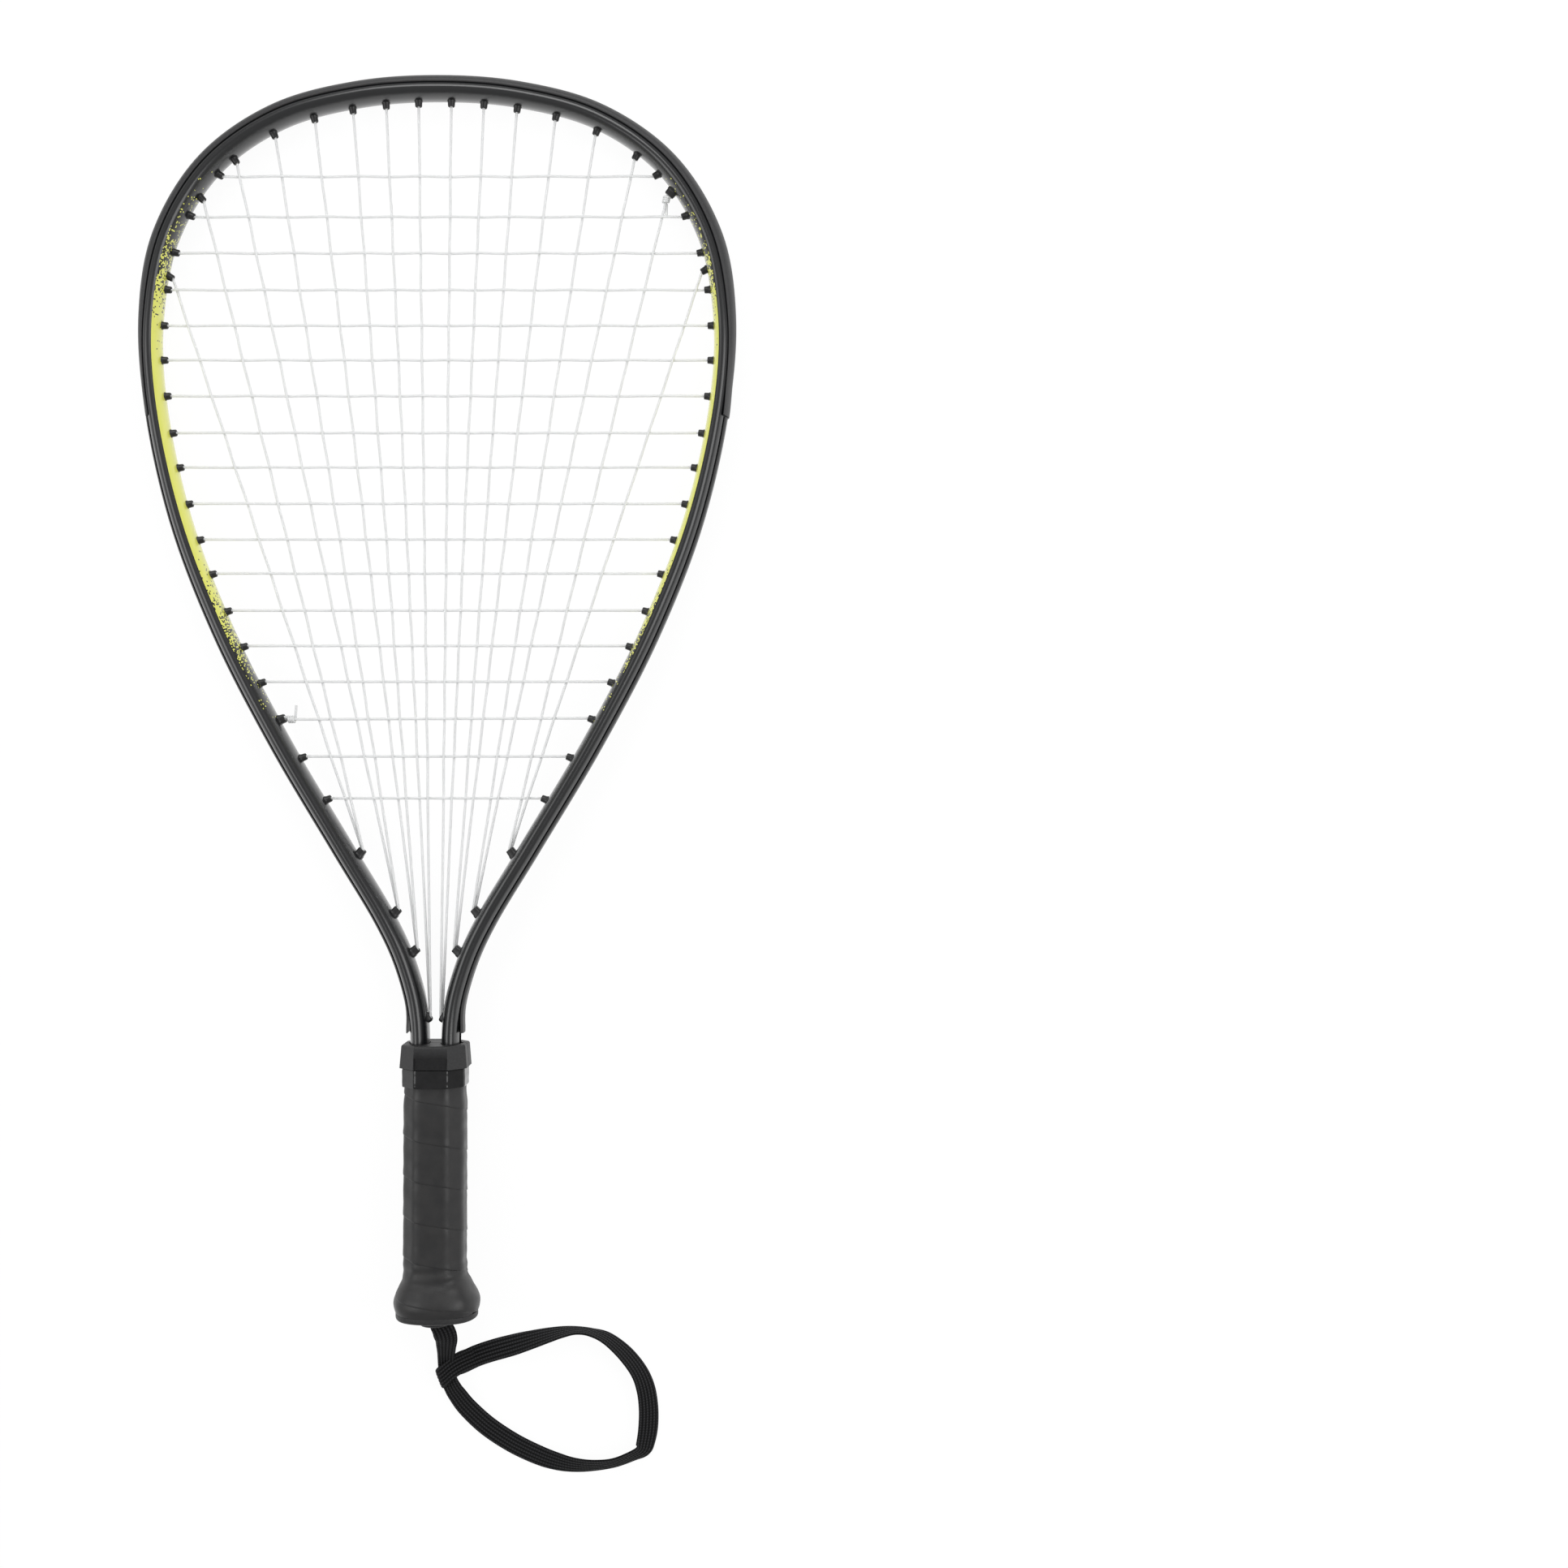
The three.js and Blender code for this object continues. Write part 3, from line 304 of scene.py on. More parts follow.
def mottled_finish(name, colour, roughness, patch, dark, light, grains=None, **sockets):
    """A finish mottled in patches between two shades, with a grain of (size, depth) where it has one."""
    material, tree, shader, where = new_finish(name, colour, roughness, **sockets)
    place = millimetres(tree, where.outputs["Object"])
    mottle(tree, shader, place, patch, dark, light)
    if grains:
        grain(tree, shader, place, *grains)
    return material


# %% [markdown]
# ## The line of the frame
# The frame is one tube bent to a teardrop. Its middle line is a curve through the widest points, the
# shoulders and the throat, the same on both sides, and it ends in two straight legs in the handle. A
# place on the frame is a distance along that line from the middle of the head, to the right or, below
# zero, to the left.

# %% Frame line: a centripetal Catmull-Rom curve and two legs
overall_length = 558.8
head_half_width = 128.8
leg_half_spacing = 6.95
bend_start = 126
leg_end = 25
tube_width, tube_depth, tube_wall = 8.5, 16.5, 1.1
bumper_thickness, fit_gap = 2.4, 0.3
head_top = overall_length - tube_width / 2 - fit_gap - bumper_thickness
outline_shares = np.array([
    (0.243, 0.9935), (0.536, 0.97), (0.783, 0.92), (0.94, 0.8465), (0.9975, 0.7615), (0.987, 0.6745),
    (0.892, 0.5474), (0.729, 0.4258), (0.52, 0.3098), (0.2867, 0.1978), (0.1296, 0.1234),
    (0.0638, 0.0842), (0.0185, 0.043), (0.0045, 0.0188), (0, 0),
])
right_side = np.stack([
    leg_half_spacing + outline_shares[:, 0] * (head_half_width - leg_half_spacing),
    bend_start + outline_shares[:, 1] * (head_top - bend_start),
], axis=1)
left_side = (right_side * (-1, 1))[::-1]
frame_points = np.vstack([left_side, [(0, head_top)], right_side])


def centripetal(points, steps):
    """The centripetal Catmull-Rom curve: knots as far apart as the square root of the distance between
    points, and on each piece the cubic with the slopes that those knots give."""
    padded = np.vstack([2 * points[0] - points[1], points, 2 * points[-1] - points[-2]])
    before, here, after, beyond = padded[:-3], padded[1:-2], padded[2:-1], padded[3:]
    gaps = np.sqrt(np.linalg.norm(np.diff(padded, axis=0), axis=1))[:, None]
    first, second, third = gaps[:-2], gaps[1:-1], gaps[2:]
    leave = (here - before) / first - (after - before) / (first + second) + (after - here) / second
    reach = (after - here) / second - (beyond - here) / (second + third) + (beyond - after) / third
    leave, reach = leave * second, reach * second
    t = np.linspace(0, 1, steps, endpoint=False)[None, :, None]
    here, after, leave, reach = (rows[:, None] for rows in (here, after, leave, reach))
    pieces = here + leave * t + (3 * (after - here) - 2 * leave - reach) * t**2
    pieces = pieces + (2 * (here - after) + leave + reach) * t**3
    return np.vstack([pieces.reshape(-1, 2), points[-1:]])


bent = centripetal(frame_points, 80)
half_length = run_of(bent)[-1] / 2
leg = np.linspace(0, bend_start - leg_end, 40)[1:, None] * (0, -1)
frame_line = np.vstack([(left_side[0] + leg)[::-1], bent, right_side[-1] + leg])
frame_places = run_of(frame_line) - half_length - (bend_start - leg_end)
frame_tangents = np.gradient(frame_line, frame_places, axis=0)
frame_outs = unit_rows(np.stack([-frame_tangents[:, 1], frame_tangents[:, 0]], axis=1))
print(f"half of the bent line: {half_length:.1f} mm")


def on_frame(place, out, up):
    """The point at a place, a distance out from the tube's middle and a height above the frame's plane."""
    place, out, up = alike(place, out, up)
    middle, away = (
        [np.interp(place, frame_places, rows[:, k]) for k in range(2)] for rows in (frame_line, frame_outs)
    )
    return np.stack([middle[0] + out * away[0], middle[1] + out * away[1], up], axis=-1)


# %% [markdown]
# The racket doesn't lie level: its butt flare is thicker than its head, so it is tilted by under a
# degree. This function lays the racket's own points down on the table.

# %% Tilt, as in the CAD model
butt_depth, bulge_height = 34.5, 7.3
tilt = math.atan2((butt_depth - tube_depth) / 2, head_top - bulge_height)
lying_height = tube_depth / 2 * math.cos(tilt) + (head_top - middle_length) * math.sin(tilt)


def lay_down(points):
    """Racket points on the table: moved back by half the length, turned about X by the tilt and raised."""
    x, y, z = np.moveaxis(np.asarray(points, float), -1, 0)
    y = y - middle_length
    return np.stack([
        x, y * math.cos(tilt) + z * math.sin(tilt), lying_height - y * math.sin(tilt) + z * math.cos(tilt),
    ], axis=-1)


def frame_sweep(section, places):
    """A section of (out, up) points carried along the frame; it may change from place to place."""
    section = np.broadcast_to(section, (len(places), *np.shape(section)[-2:]))
    return lay_down(on_frame(places[:, None], section[..., 0], section[..., 1]))


def places_from(low, high, step=3.0):
    """Places about a step apart."""
    return np.linspace(low, high, max(2, math.ceil((high - low) / step) + 1))


# %% [markdown]
# ## Frame tube
# An aluminium frame is an extrusion: an oval with a groove along its outer side for the string. It is
# bent, drilled, sprayed with satin black enamel and then masked and sprayed again on its inner half. The
# mesh is the oval with its groove, swept along the line, and Solidify gives it the wall. V on this mesh
# is the distance round the section from the crest that faces up, so the paint can follow it.

# %% Enamel: satin black, with pale yellow on the inner half that breaks up into specks
paint_edge = 2.0
inner_girth = 20.14
speck_size = 0.66
speck_stops = [
    (0.205, 0.0), (0.222, 0.015), (0.268, 0.12), (0.304, 0.42), (0.322, 0.7), (0.344, 0.92), (0.385, 1.0),
    (0.545, 1.0), (0.575, 0.93), (0.602, 0.72), (0.628, 0.42), (0.662, 0.13), (0.712, 0.0),
]
black_enamel, yellow_enamel = "#141517", "#eff072"
clump_size, clump_strength = 4.5, 0.16


def yellow_share(tree, along):
    """The share of yellow at a distance along the frame, by a ramp through the stops above."""
    share = maths(tree, "DIVIDE", maths(tree, "ABSOLUTE", along), half_length)
    ramp = add_node(tree, "ShaderNodeValToRGB", {}, {}, {"Fac": share})
    stops = ramp.color_ramp.elements
    for position, _ in speck_stops[1:-1]:
        stops.new(position)
    stops[0].position, stops[-1].position = speck_stops[0][0], speck_stops[-1][0]
    for stop, (_, level) in zip(stops, speck_stops):
        stop.color = (level, level, level, 1)
    return ramp.outputs["Color"]


def enamel_finish():
    """Two colours on one coat: a speck is yellow where its random number is below yellow's share there."""
    material, tree, shader, where = new_finish(
        "satin_enamel_on_aluminium", black_enamel, 0.36,
        Specular_IOR_Level=0.3, Coat_Weight=1.0, Coat_Roughness=0.2, Coat_IOR=1.55,
    )
    unrolled = where.outputs["UV"]
    surface = add_node(tree, "ShaderNodeSeparateXYZ", {}, {}, {0: unrolled})
    yellow = yellow_share(tree, surface.outputs["X"])
    clumps = add_node(
        tree, "ShaderNodeTexNoise", {"noise_dimensions": "2D"}, {"Scale": 1 / clump_size, "Detail": 1.0},
        {"Vector": unrolled},
    )
    uneven = remap(tree, clumps.outputs["Fac"], 0.3, 0.7, -clump_strength, clump_strength)
    # The clumps fade out where the paint is solid, by four times the share times what is left of it
    spare = maths(tree, "MULTIPLY", maths(tree, "SUBTRACT", 1.0, yellow), yellow)
    level = maths(tree, "MULTIPLY_ADD", uneven, maths(tree, "MULTIPLY", spare, 4.0), yellow)
    cells = add_node(
        tree, "ShaderNodeTexVoronoi", {"voronoi_dimensions": "2D", "distance": "CHEBYCHEV"},
        {"Scale": 1 / speck_size, "Randomness": 0.3}, {"Vector": unrolled},
    )
    number = add_node(tree, "ShaderNodeSeparateColor", {}, {}, {0: cells.outputs["Color"]})
    # A speck is a dot where yellow is rare, and fills its cell where yellow is common
    reach = remap(tree, level, 0.1, 0.6, 0.46, 1.0)
    painted = maths(tree, "GREATER_THAN", surface.outputs["Y"], paint_edge)
    for inside in (
        maths(tree, "LESS_THAN", surface.outputs["Y"], inner_girth - paint_edge),
        maths(tree, "LESS_THAN", number.outputs[0], level),
        maths(tree, "LESS_THAN", cells.outputs["Distance"], reach),
    ):
        painted = maths(tree, "MULTIPLY", painted, inside)
    colour = add_node(
        tree, "ShaderNodeMix", {"data_type": "RGBA"}, {6: linear(black_enamel), 7: linear(yellow_enamel)},
        {0: painted},
    )
    tree.links.new(colour.outputs[2], shader.inputs["Base Color"])
    # Sprayed enamel has a faint orange peel
    grain(tree, shader, millimetres(tree, where.outputs["Object"]), 0.7, 0.006)
    return material


enamel = enamel_finish()

# %% The tube
lane = 1.7
string_radius = 0.7
groove_half_depth = lane + string_radius + fit_gap


def tube_surface(up):
    """How far out the oval is at a height: half the width times root(1 - (up / half depth) squared)."""
    return tube_width / 2 * np.sqrt(1 - (up / (tube_depth / 2)) ** 2)


cover_inner = tube_surface(groove_half_depth) + fit_gap
lane_out = cover_inner - fit_gap - string_radius
strip_outer = lane_out - string_radius - fit_gap
strip_inner = strip_outer - 0.6
groove_floor = strip_inner - fit_gap


def oval(angle, stand=0.0):
    """Points of the tube's oval at angles in radians, a distance off its surface: (out, up)."""
    return np.stack([
        (tube_width / 2 + stand) * np.cos(angle), (tube_depth / 2 + stand) * np.sin(angle),
    ], axis=1)


def tube_section(count=56):
    """The oval from one lip of the groove round to the other, and then the groove: (out, up) points."""
    lip = math.asin(groove_half_depth / (tube_depth / 2))
    groove = [(groove_floor, -groove_half_depth), (groove_floor, groove_half_depth)]
    return np.vstack([oval(np.linspace(lip, 2 * np.pi - lip, count)), groove])


def girth_from_crest(section):
    """The distance round a section from its highest point, with one value more for the way back."""
    around = run_of(np.vstack([section, section[:1]]))
    return around - around[np.argmax(section[:, 1])]


def frame_tube():
    """The open sweep of the oval, which Solidify makes a wall."""
    places = places_from(frame_places[0], frame_places[-1])
    section = tube_section()
    points, faces, corners = skin(frame_sweep(section, places), places, girth_from_crest(section))
    open_skin = points, faces[:-2], corners[:-2 * len(section)]
    piece = make_piece("frame_tube_enamelled", [open_skin], enamel, ["frame_tube"])
    wall = piece.modifiers.new("wall", "SOLIDIFY")
    wall.thickness, wall.offset = tube_wall / 1000, -1


frame_tube()

# %% [markdown]
# ## Bumper guard and cover strips
# The bumper is a nylon channel pushed over the outer half of the head, so its inside follows the tube and
# its outside is fuller, with rounded lips. Below it, two thin strips of the same nylon close the groove,
# and each springs off the tube a little at the end that was cut. Both are sections swept along the frame.

# %% Nylon: a matte moulding whose grain of a quarter of a millimetre catches the light
bumper_nylon = mottled_finish(
    "moulded_nylon_grained", "#343435", 0.48, 0.5, "#343435", "#3e3e3f", (0.28, 0.03)
)
cover_nylon = mottled_finish(
    "extruded_nylon_satin", "#1d1d1e", 0.4, 0.5, "#1d1d1e", "#242425", (0.28, 0.008)
)

# %% The bumper
head_split = 0.43 * half_length
bumper_taper_shares = (0.28, 0.42)
bumper_end_thickness, bumper_least = 0.65, 0.6
bumper_lip_degrees = 50.5
bumper_thickness_shares = [0, 8, 20, 32, 44, bumper_lip_degrees], [1, 1, 0.95, 0.86, 0.66, 0.42]
snug_gap = 0.08
spring_reach, bumper_spring, cover_spring = 16, 0.5, 0.9
end_round, end_shrink = 1.0, 0.06


def round_lip(outside, inside):
    """A half round from one point of a section to another, on the side away from the section."""
    middle, arm = (outside + inside) / 2, (outside - inside) / 2
    turn = np.radians([140, 110, 90, 70, 40])[:, None]
    return middle - np.cos(turn) * arm + np.sin(turn) * np.array([-arm[1], arm[0]])


def bumper_section(place, count=29):
    """The outer face stands off the oval by the bumper's thickness, less towards the lips, which are round,
    and the inner face follows the oval and runs straight over the groove."""
    start, stop = bumper_taper_shares
    taper = eased((abs(place) / half_length - start) / (stop - start))
    thickness = bumper_thickness + (bumper_end_thickness - bumper_thickness) * taper
    degrees = np.linspace(-bumper_lip_degrees, bumper_lip_degrees, count)
    share = np.interp(np.abs(degrees), *bumper_thickness_shares)
    outer = oval(np.radians(degrees), fit_gap + np.maximum(thickness * share, bumper_least))
    groove_lip = math.asin(groove_half_depth / (tube_depth / 2 + snug_gap))
    inner = oval(np.linspace(math.radians(bumper_lip_degrees), groove_lip, 9), snug_gap)
    half = np.vstack([outer[count // 2:], round_lip(outer[-1], inner[0]), inner])
    return np.vstack([half, (half[1:] * (1, -1))[::-1]])


def bumper():
    """The channel, its ends rounded over the last millimetre and one of them sprung off the tube."""
    ends = np.array([0, 0.25, 0.6, 1.0])
    inside = places_from(-head_split, head_split)[1:-1]
    places = np.concatenate([-head_split + ends, inside, head_split - ends[::-1]])
    sections = np.array([bumper_section(place) for place in places])
    middles = sections.mean(axis=1, keepdims=True)
    close = np.minimum(head_split - np.abs(places), end_round)
    shrink = 1 - end_shrink * (1 - np.sqrt(1 - (1 - close) ** 2))
    sections = middles + (sections - middles) * shrink[:, None, None]
    lift = bumper_spring * eased((places - head_split + spring_reach) / spring_reach)
    sections[..., 0] += lift[:, None]
    grid = frame_sweep(sections, places)
    make_piece("bumper_guard_nylon", [skin(grid, places)], bumper_nylon, ["bumper_guard"])


bumper()

# %% The cover strips
strip_end = half_length - 1.6
cover_half_depth, cover_thickness, cover_edge = 4.6, 0.65, 0.22


def cover_section(count=15):
    """A thin band that arches over the groove from one seat on the tube to the other."""
    up = np.linspace(-cover_half_depth, cover_half_depth, count)
    inner = np.where(np.abs(up) < groove_half_depth, cover_inner, tube_surface(up) + fit_gap)
    fullness = 1 - (np.abs(up) / cover_half_depth) ** 6
    outer = inner + cover_edge + (cover_thickness - cover_edge) * fullness
    return np.vstack([np.stack([outer, up], axis=1), np.stack([inner, up], axis=1)[::-1]])


def cover_strip(side, name, node):
    """One strip from the bumper to just above the collar, sprung off at its lower end."""
    places = places_from(head_split + fit_gap, strip_end, 2.5)
    lift = cover_spring * eased((places - strip_end + spring_reach) / spring_reach) ** 2
    sections = cover_section() + np.stack([lift, np.zeros(len(places))], axis=1)[:, None]
    grid = frame_sweep(sections, side * places)
    make_piece(name, [skin(grid, side * places)], cover_nylon, [node])


for side_name, side in (("left", -1), ("right", 1)):
    cover_strip(side, f"{side_name}_cover_strip_nylon", f"{side_name}_cover_strip")

# %% [markdown]
# ## Grommets
# Where the string goes through the tube, a nylon barrel keeps it off the metal. The barrels of a stretch
# are moulded in one with a base strip that lies in the groove. Each barrel leans from the tube's normal
# towards the run of string that it passes. A barrel is a ring carried down its own axis: a foot, a
# slightly tapered wall, a rounded tip and the bore behind it. The throat barrels are wider, because two
# strings share each.

# %% Holes in the frame, as shares of the half length from the middle of the head
main_shares = [0.304, 0.229, 0.184, 0.143, 0.105, 0.071, 0.042, 0.014]
cross_shares = [
    0.21, 0.254, 0.289, 0.322, 0.353, 0.383, 0.414, 0.446, 0.476,
    0.508, 0.54, 0.571, 0.605, 0.638, 0.672, 0.707, 0.744, 0.785,
]
throat_shares = [0.843, 0.9, 0.935, 0.989]
main_count = 2 * len(main_shares)
main_shift_share = -0.003
barrel_reach, throat_reach, last_reach = 2.7, 2.9, 1.0
tied_main, tied_cross = main_count - 2, 15
barrel_lean = 0.45
barrel_wall = 0.52
bore_radius = string_radius + fit_gap * math.sqrt(2)
no_spread, pair_spread = (0.0, 0.0), (0.55, 0.75)
side_spread = (string_radius + fit_gap / 2, 0.0)


def unit(vector):
    """A vector of length 1."""
    return vector / np.linalg.norm(vector)


def make_hole(place, reach, spread, target):
    """A hole's middle, axis, across direction, spread and the distance to its barrel's tip."""
    centre = on_frame(place, 0, 0)
    inward = unit(on_frame(place, -1, 0) - centre)
    axis = unit(inward + barrel_lean * unit(target - centre))
    across = np.array([-axis[1], axis[0], 0])
    if across @ (on_frame(place - np.sign(place), 0, 0) - centre) < 0:
        across = -across
    return {
        "place": place, "centre": centre, "inward": inward, "axis": axis, "across": across,
        "spread": spread, "tip": (tube_width / 2 + reach) / (axis @ inward),
    }


def in_hole(hole, along, across, up):
    """A point in a hole: along its axis, across it and above the frame's plane."""
    along, across, up = alike(along, across, up)
    point = hole["centre"] + along[..., None] * hole["axis"] + across[..., None] * hole["across"]
    return point + up[..., None] * (0, 0, 1)


def main_side(main):
    """-1 for the mains of the left half, 1 for those of the right."""
    return -1 if main < len(main_shares) else 1


def from_edge(main):
    """A main's count from the nearer side of the frame."""
    return min(main, main_count - 1 - main)


def frame_spot(side, share):
    """The middle of the tube at a share of the half length to one side."""
    return on_frame(side * share * half_length, 0, 0)


main_holes = [
    make_hole(
        (main_side(main) * main_shares[from_edge(main)] + main_shift_share) * half_length, barrel_reach,
        side_spread if main == tied_main else no_spread,
        frame_spot(main_side(main), throat_shares[from_edge(main) // 2]),
    )
    for main in range(main_count)
]
throat_holes = {
    side: [
        make_hole(
            side * share * half_length, last_reach if pair == 3 else throat_reach, pair_spread,
            (frame_spot(side, main_shares[2 * pair]) + frame_spot(side, main_shares[2 * pair + 1])) / 2,
        )
        for pair, share in enumerate(throat_shares)
    ]
    for side in (-1, 1)
}
cross_holes = {
    side: [
        make_hole(
            side * share * half_length, barrel_reach,
            pair_spread if side < 0 and cross == tied_cross else no_spread, frame_spot(-side, share),
        )
        for cross, share in enumerate(cross_shares)
    ]
    for side in (-1, 1)
}
all_holes = [*main_holes, *throat_holes[-1], *throat_holes[1], *cross_holes[-1], *cross_holes[1]]
print(len(all_holes), "holes")

# %% Grommet barrels and strips
grommet_nylon = mottled_finish(
    "moulded_nylon_black", "#1b1b1c", 0.36, 0.5, "#1b1b1c", "#232324", (0.28, 0.01)
)
wide_squareness, slim_inset = 0.62, 0.1
root_out, foot_out = -0.8, 0.25


def barrel_skin(hole, count=28):
    """Rings down the axis, from the foot out and back in: along from the tip, and what is added to the
    bore's radius."""
    wide = hole["spread"] != no_spread
    round_ring = circle(1, count)
    unit_ring = np.sign(round_ring) * np.abs(round_ring) ** (wide_squareness if wide else 1.0)
    halves = np.array(hole["spread"]) + (string_radius + fit_gap if wide else bore_radius - slim_inset)
    wall = barrel_wall + (0.0 if wide else slim_inset)
    lean = hole["axis"] @ hole["inward"]
    root, foot = ((tube_width / 2 + out) / lean - hole["tip"] for out in (root_out, foot_out))
    rows = np.array([
        (root, wall + 0.28), (foot, wall + 0.26), (foot + 0.25, wall + 0.1), (foot + 0.5, wall + 0.02),
        (-0.45, wall - 0.08), (-0.22, wall - 0.13), (-0.07, wall - 0.24), (0.0, wall - 0.4),
        (-0.06, 0.02), (-0.3, -0.1), (-1.6, -0.16),
    ])
    along = hole["tip"] + rows[:, :1]
    sizes = halves + rows[:, 1:]
    across = sizes[:, :1] * unit_ring[:, 0]
    up = sizes[:, 1:] * unit_ring[:, 1]
    return skin(lay_down(in_hole(hole, np.broadcast_to(along, across.shape), across, up)))


def grommet_strip(name, node, low, high):
    """The base strip in the groove between two places, with the barrels of that stretch."""
    half_strip = groove_half_depth - fit_gap
    corners = [(strip_inner, -1), (strip_outer, -1), (strip_outer, 1), (strip_inner, 1)]
    base = np.array(corners) * (1, half_strip)
    places = places_from(low, high)
    skins = [skin(frame_sweep(base, places), places)]
    skins += [barrel_skin(hole) for hole in all_holes if low < hole["place"] < high]
    make_piece(name, skins, grommet_nylon, [node])


throat_split = 0.814 * half_length
grommet_strip("head_grommets", "head_grommet_strip", -head_split, head_split)
for side_name, side in (("left", -1), ("right", 1)):
    low, high = sorted((side * (head_split + fit_gap), side * (throat_split - fit_gap)))
    grommet_strip(f"{side_name}_grommets", f"{side_name}_grommet_strip", low, high)
    low, high = sorted((side * (throat_split + fit_gap), side * strip_end))
    grommet_strip(f"{side_name}_throat_grommets", f"{side_name}_throat_grommet_strip", low, high)

# %% [markdown]
# ## String
# The racket is strung with one strand of round synthetic gut, 1.2 mm thick. It runs down a main, along
# the groove outside the tube, up the next, and then to and fro through the crosses, each of which goes
# over one main and under the next. The heights are worked out from where the runs cross in plan: over and
# under by the parity of the two counts, with a cosine between one crossing and the next.

# %% Gut: clear nylon that lets light through, with a faint milkiness that scatters some of it back
gut = mottled_finish(
    "synthetic_gut_clear", "#fbfcfc", 0.35, 1.2, "#f8f9f9", "#feffff", Transmission_Weight=0.18, IOR=1.35
)

# %% Ends of the runs and where they cross
gut_radius = 0.59
weave_rise = 0.64
string_turn, lane_shift = 0.9, 1.6


def end_in(hole, across_share, up_share):
    """A run's end: its hole, and how far across and up in it the string lies."""
    return {"hole": hole, "across": across_share * hole["spread"][0], "up": up_share * hole["spread"][1]}


def throat_end(main):
    """Two mains share a throat hole, one on each side of its axis."""
    hole = throat_holes[main_side(main)][from_edge(main) // 2]
    return end_in(hole, 1, -1) if from_edge(main) % 2 == 0 else end_in(hole, -1, 1)


def tip_point(end):
    """Where a run leaves its barrel."""
    return in_hole(end["hole"], end["hole"]["tip"] - 0.3, end["across"], end["up"])


def along_at_out(hole, out, across):
    """How far along its axis a line beside it is a given distance out from the tube's middle."""
    return -(out + across * (hole["across"] @ hole["inward"])) / (hole["axis"] @ hole["inward"])


def out_point(end):
    """Where a run turns into the groove."""
    along = along_at_out(end["hole"], lane_out - string_turn, end["across"])
    return in_hole(end["hole"], along, end["across"], end["up"])


def place_at_out(end):
    """The place in the groove at which a run's hole comes out."""
    hole = end["hole"]
    point = in_hole(hole, along_at_out(hole, lane_out, end["across"]), end["across"], 0) - hole["centre"]
    return hole["place"] + point @ unit(on_frame(hole["place"] + string_turn, 0, 0) - hole["centre"])


head_ends = [end_in(hole, 1, 0) for hole in main_holes]
cross_ends = {side: [end_in(hole, -1, -1) for hole in cross_holes[side]] for side in (-1, 1)}
head_tie = end_in(main_holes[tied_main], -1, 0)
side_tie = end_in(cross_holes[-1][tied_cross], 1, 1)
main_ends = [(head_ends[main], throat_end(main)) for main in range(main_count)]
cross_pairs = [(cross_ends[-1][cross], cross_ends[1][cross]) for cross in range(len(cross_shares))]
main_tips = np.array([[tip_point(end) for end in ends] for ends in main_ends])
cross_tips = np.array([[tip_point(end) for end in ends] for ends in cross_pairs])


def crossings():
    """For every main and cross, the share of each run at which they meet in plan. With a run's start p and
    way d, and the other's q and e, the share is (q - p) x e / d x e."""
    p, d = main_tips[:, None, 0, :2], (main_tips[:, 1] - main_tips[:, 0])[:, None, :2]
    q, e = cross_tips[None, :, 0, :2], (cross_tips[:, 1] - cross_tips[:, 0])[None, :, :2]
    turn = d[..., 0] * e[..., 1] - d[..., 1] * e[..., 0]
    gap = q - p
    on_main = (gap[..., 0] * e[..., 1] - gap[..., 1] * e[..., 0]) / turn
    on_cross = (gap[..., 0] * d[..., 1] - gap[..., 1] * d[..., 0]) / turn
    meet = (on_main > 0) & (on_main < 1) & (on_cross > 0) & (on_cross < 1)
    return on_main, on_cross, meet


share_on_main, share_on_cross, meeting = crossings()
over = np.where((np.arange(main_count)[:, None] + np.arange(len(cross_shares))[None]) % 2 == 0, 1, -1)
print("crossings:", int(meeting.sum()))


def woven_run(tips, shares, heights, step=2.2):
    """A run from tip to tip: straight in plan, its height eased by a cosine from crossing to crossing."""
    order = np.argsort(shares)
    length = np.linalg.norm(tips[1] - tips[0])
    knots = np.concatenate([[0], shares[order], [1]])
    levels = np.concatenate([[tips[0, 2]], heights[order], [tips[1, 2]]])
    share = np.unique(np.concatenate([np.linspace(0, 1, math.ceil(length / step) + 1), knots]))
    k = np.clip(np.searchsorted(knots, share, side="right") - 1, 0, len(knots) - 2)
    between = (share - knots[k]) / np.maximum(knots[k + 1] - knots[k], 1e-9)
    level = levels[k] + (levels[k + 1] - levels[k]) * (1 - np.cos(np.pi * between)) / 2
    line = tips[0] + (tips[1] - tips[0]) * share[:, None]
    line[:, 2] = level
    return line


def main_run(main):
    """A main from the groove over the head to the groove at the throat."""
    met = meeting[main]
    line = woven_run(main_tips[main], share_on_main[main, met], weave_rise * over[main, met])
    return np.vstack([[out_point(main_ends[main][0])], line, [out_point(main_ends[main][1])]])


def cross_run(cross):
    """A cross from the groove at the left to the groove at the right."""
    met = meeting[:, cross]
    line = woven_run(cross_tips[cross], share_on_cross[met, cross], -weave_rise * over[met, cross])
    return np.vstack([[out_point(cross_pairs[cross][0])], line, [out_point(cross_pairs[cross][1])]])


# %% The strand's order, and its way along the groove
def groove_run(start, end, up):
    """From one hole to another along the groove, in a lane beside the holes that it passes."""
    low, high = place_at_out(start), place_at_out(end)
    step = np.sign(high - low)
    turn, shift = step * string_turn, step * (string_turn + lane_shift)
    inside = places_from(*sorted((low + shift, high - shift)))[::int(step)]
    between = on_frame(inside, lane_out, up)
    ends = [on_frame(low + turn, lane_out, start["up"]), on_frame(high - turn, lane_out, end["up"])]
    return np.vstack([ends[:1], between, ends[1:]])


half_order = [0, 2, 1, 3, 4, 6, 5, 7]
strand_mains = [main_count - 1 - edge for edge in half_order] + half_order[::-1]


